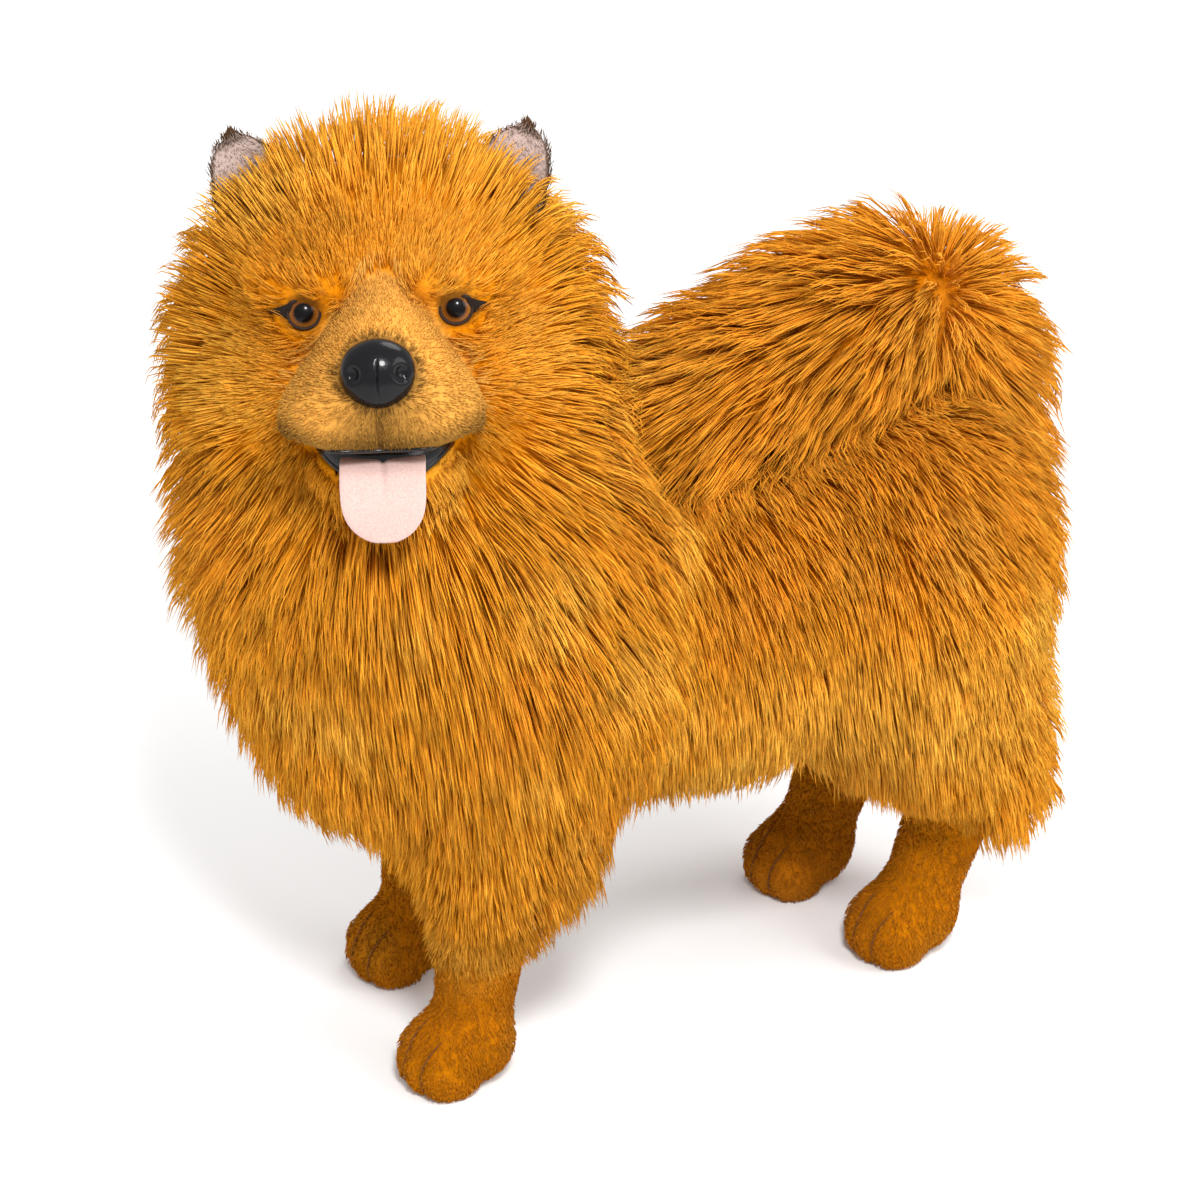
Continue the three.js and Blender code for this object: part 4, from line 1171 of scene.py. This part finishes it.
# Ears: cupped leaves, pale inside and dark behind
def ear(side, s):
    rows, cols = EAR_ROWS, EAR_COLUMNS
    half = EAR["width"] / 2
    v, u = np.meshgrid(np.linspace(0, 1, rows), np.linspace(-1, 1, cols), indexing="ij")
    wide = half * np.sqrt(np.clip(1 - (v * 0.99) ** 2.6, 0, 1)) * (1 - 0.12 * v)
    x = u * wide
    z = v * (EAR["height"] - 2)
    edge = np.sqrt(np.clip(1 - np.abs(u) ** 4, 0, 1)) * np.sqrt(np.clip(1 - v**6, 0, 1))
    cup = -7 * (x / half) ** 2
    bowl = 3.4 * (1 - np.abs(u) ** 2) * (1 - v)
    front = np.stack([x, cup - 0.4 - 2.2 * edge + bowl, z], -1).reshape(-1, 3)
    rear = np.stack([x, cup + 0.4 + 2.6 * edge, z], -1).reshape(-1, 3)
    lean = math.radians(EAR["lean"]) * s
    c, sn = math.cos(lean), math.sin(lean)
    tilt = np.array([[c, 0, sn], [0, 1, 0], [-sn, 0, c]])
    pts = np.concatenate([front, rear]) @ tilt.T
    pts = pts + (EAR["x"] * s, EAR["y"], EAR["z"])
    world = HEAD + pts @ AXES.T
    m = rows * cols
    i, j = np.meshgrid(np.arange(rows - 1), np.arange(cols - 1), indexing="ij")
    a = (i * cols + j).ravel()
    quad = np.stack([a, a + 1, a + cols + 1, a + cols], 1)
    faces = quad.tolist() + (quad[:, ::-1] + m).tolist()
    border = list(range(cols)) + [q * cols + cols - 1 for q in range(1, rows)]
    border += [(rows - 1) * cols + q for q in range(cols - 2, -1, -1)]
    border += [q * cols for q in range(rows - 2, 0, -1)]
    for p0, p1 in zip(border, border[1:] + border[:1]):
        faces.append((p1, p0, p0 + m, p1 + m))
    near_rim = ramp(np.maximum(np.abs(u), v), 0.84, 0.97).ravel()[:, None]
    front_tint = EAR_INSIDE + (EAR_RIM - EAR_INSIDE) * near_rim
    tint = np.concatenate([front_tint, np.tile(EAR_RIM * 1.3, (m, 1))])
    obj = loose_mesh(f"ear_{side}_leaf", world, faces, EAR_PLUSH)
    paint(obj.data, tint)
    settle(obj, "short_plush", f"ear_{side}")
    return world, tint


def ear_nap(side, s, leaf):
    """Short hairs along the rim and over both faces of an ear."""
    world, tint = leaf
    rows, cols = EAR_ROWS, EAR_COLUMNS
    count = 2600
    i = RNG.integers(1, rows, count)
    j = RNG.integers(0, cols, count)
    at_side = np.abs(j - cols / 2) > cols * 0.4
    edge = at_side | (i > rows * 0.84)
    rear = (RNG.random(count) < 0.5) | (~edge & (RNG.random(count) < 0.4))
    k = i * cols + j + rows * cols * rear
    roots = world[k] + RNG.normal(0, 0.5, (count, 3))
    tip = HEAD + np.array([EAR["x"] * s * 1.28, EAR["y"], EAR["z"] + EAR["height"]]) @ AXES.T
    way = tip - roots
    way /= np.linalg.norm(way, axis=1, keepdims=True)
    face = np.where(rear[:, None], AXES[:, 1], -AXES[:, 1])
    side_out = np.sign(j - cols / 2)[:, None] * AXES[:, 0] * at_side[:, None]
    way = way * 0.8 + face * 0.35 + side_out * 0.5 + RNG.normal(0, 0.12, (count, 3))
    reach = RNG.uniform(3.5, 6.5, count)[:, None] * np.where(edge | rear, 1.0, 0.6)[:, None]
    centres = np.stack([roots, roots + way * reach * 0.5, roots + way * reach], axis=1)
    widths = 0.55 * np.tile([1.0, 0.8, 0.0], (count, 1))
    tone = tint[k] * RNG.uniform(0.8, 1.35, count)[:, None]
    # Darker at the root, painted shade in the nap, and paler at the tip
    tints = np.clip(np.stack([tone * 0.7, tone, tone * 1.25], axis=1), 0, 1)
    uv = np.stack([(j + 0.5) / cols * 0.48 + 0.5 * rear, (i + 0.5) / rows], axis=1)
    verts, faces, patches, colours = strand_mesh(centres, widths, (0.0, 0.5, 1.0), uv, tints)
    nap = new_mesh(f"nap_ear_{side}", verts, faces, SHORT_PLUSH, uv=patches, colour=colours)
    settle(nap, "short_plush", f"ear_{side}")


for side, s in SIDES:
    ear_nap(side, s, ear(side, s))


# Sewn toes: a dark thread lies in each groove between two toes, partly the seam and partly painted
# shade of the groove
threads = []
for pair, side, x, y, s in LEGS:
    for off in (-10.3, 0.0, 10.3):
        lean = np.radians(np.linspace(-18, 72, 22))
        fan = off * 0.02
        ways = np.stack([np.full(22, fan), -np.cos(lean), np.sin(lean)], axis=1)
        ways /= np.linalg.norm(ways, axis=1, keepdims=True)
        line = cast_out((x + off * 0.86, y - 8, 9), ways, 60)
        width = 0.62 * np.sqrt(np.clip(1 - np.linspace(-1, 1, 22) ** 4, 0.02, 1))
        threads.append(tube(line + ways * 0.9, width, 6))
thread_points, thread_quads = join(threads)
settle(loose_mesh("toe_threads_groove_shade", thread_points, thread_quads.tolist(), GROOVE_SHADE_THREAD), "short_plush")


# Floor, light and camera
floor_mat, _, _, shader = material("studio_floor")
set_inputs(shader, {"Base Color": (0.93, 0.93, 0.93, 1), "Roughness": 0.9})
bpy.ops.mesh.primitive_plane_add(size=8, location=(0, 0, 0))
floor = bpy.context.object
floor.name = "studio_floor"
floor.data.materials.append(floor_mat)

world = bpy.context.scene.world or bpy.data.worlds.new("studio")
bpy.context.scene.world = world
world.use_nodes = True
background = world.node_tree.nodes["Background"]
set_inputs(background, {"Color": (1, 1, 1, 1), "Strength": 0.78})

TARGET = (np.array([45, -48, 240]) + SHIFT) * MM
CAMERA = {"turn": 64, "lift": 26, "far": 1.9}
SENSOR = 36
PICTURE = 1200
PIXELS_A_METRE = 2100


def towards(turn, lift):
    """The way from the toy to a point round and above it, by two angles in degrees."""
    turn, lift = math.radians(turn), math.radians(lift)
    return Vector((math.sin(turn) * math.cos(lift), -math.cos(turn) * math.cos(lift), math.sin(lift)))


def lamp(name, turn, lift, far, size, power):
    way = towards(turn, lift)
    light = bpy.data.lights.new(name, "AREA")
    light.shape = "DISK"
    light.size = size
    light.energy = power
    obj = bpy.data.objects.new(name, light)
    obj.location = Vector(TARGET) + way * far
    obj.rotation_euler = way.to_track_quat("Z", "Y").to_euler()
    bpy.context.scene.collection.objects.link(obj)


lamp("key_light", 72, 46, 2.0, 0.42, 36)
lamp("fill_light", 130, 32, 2.2, 1.4, 22)
lamp("rim_light", 215, 55, 2.2, 1.2, 20)

away = towards(CAMERA["turn"], CAMERA["lift"])
camera = bpy.data.cameras.new("camera")
camera.sensor_width = SENSOR
camera.lens = SENSOR * CAMERA["far"] * PIXELS_A_METRE / PICTURE
camera.clip_start = 0.05
eye_point = bpy.data.objects.new("camera", camera)
eye_point.location = Vector(TARGET) + away * CAMERA["far"]
eye_point.rotation_euler = away.to_track_quat("Z", "Y").to_euler()
bpy.context.scene.collection.objects.link(eye_point)
bpy.context.scene.camera = eye_point
bpy.context.scene.view_settings.view_transform = "Standard"
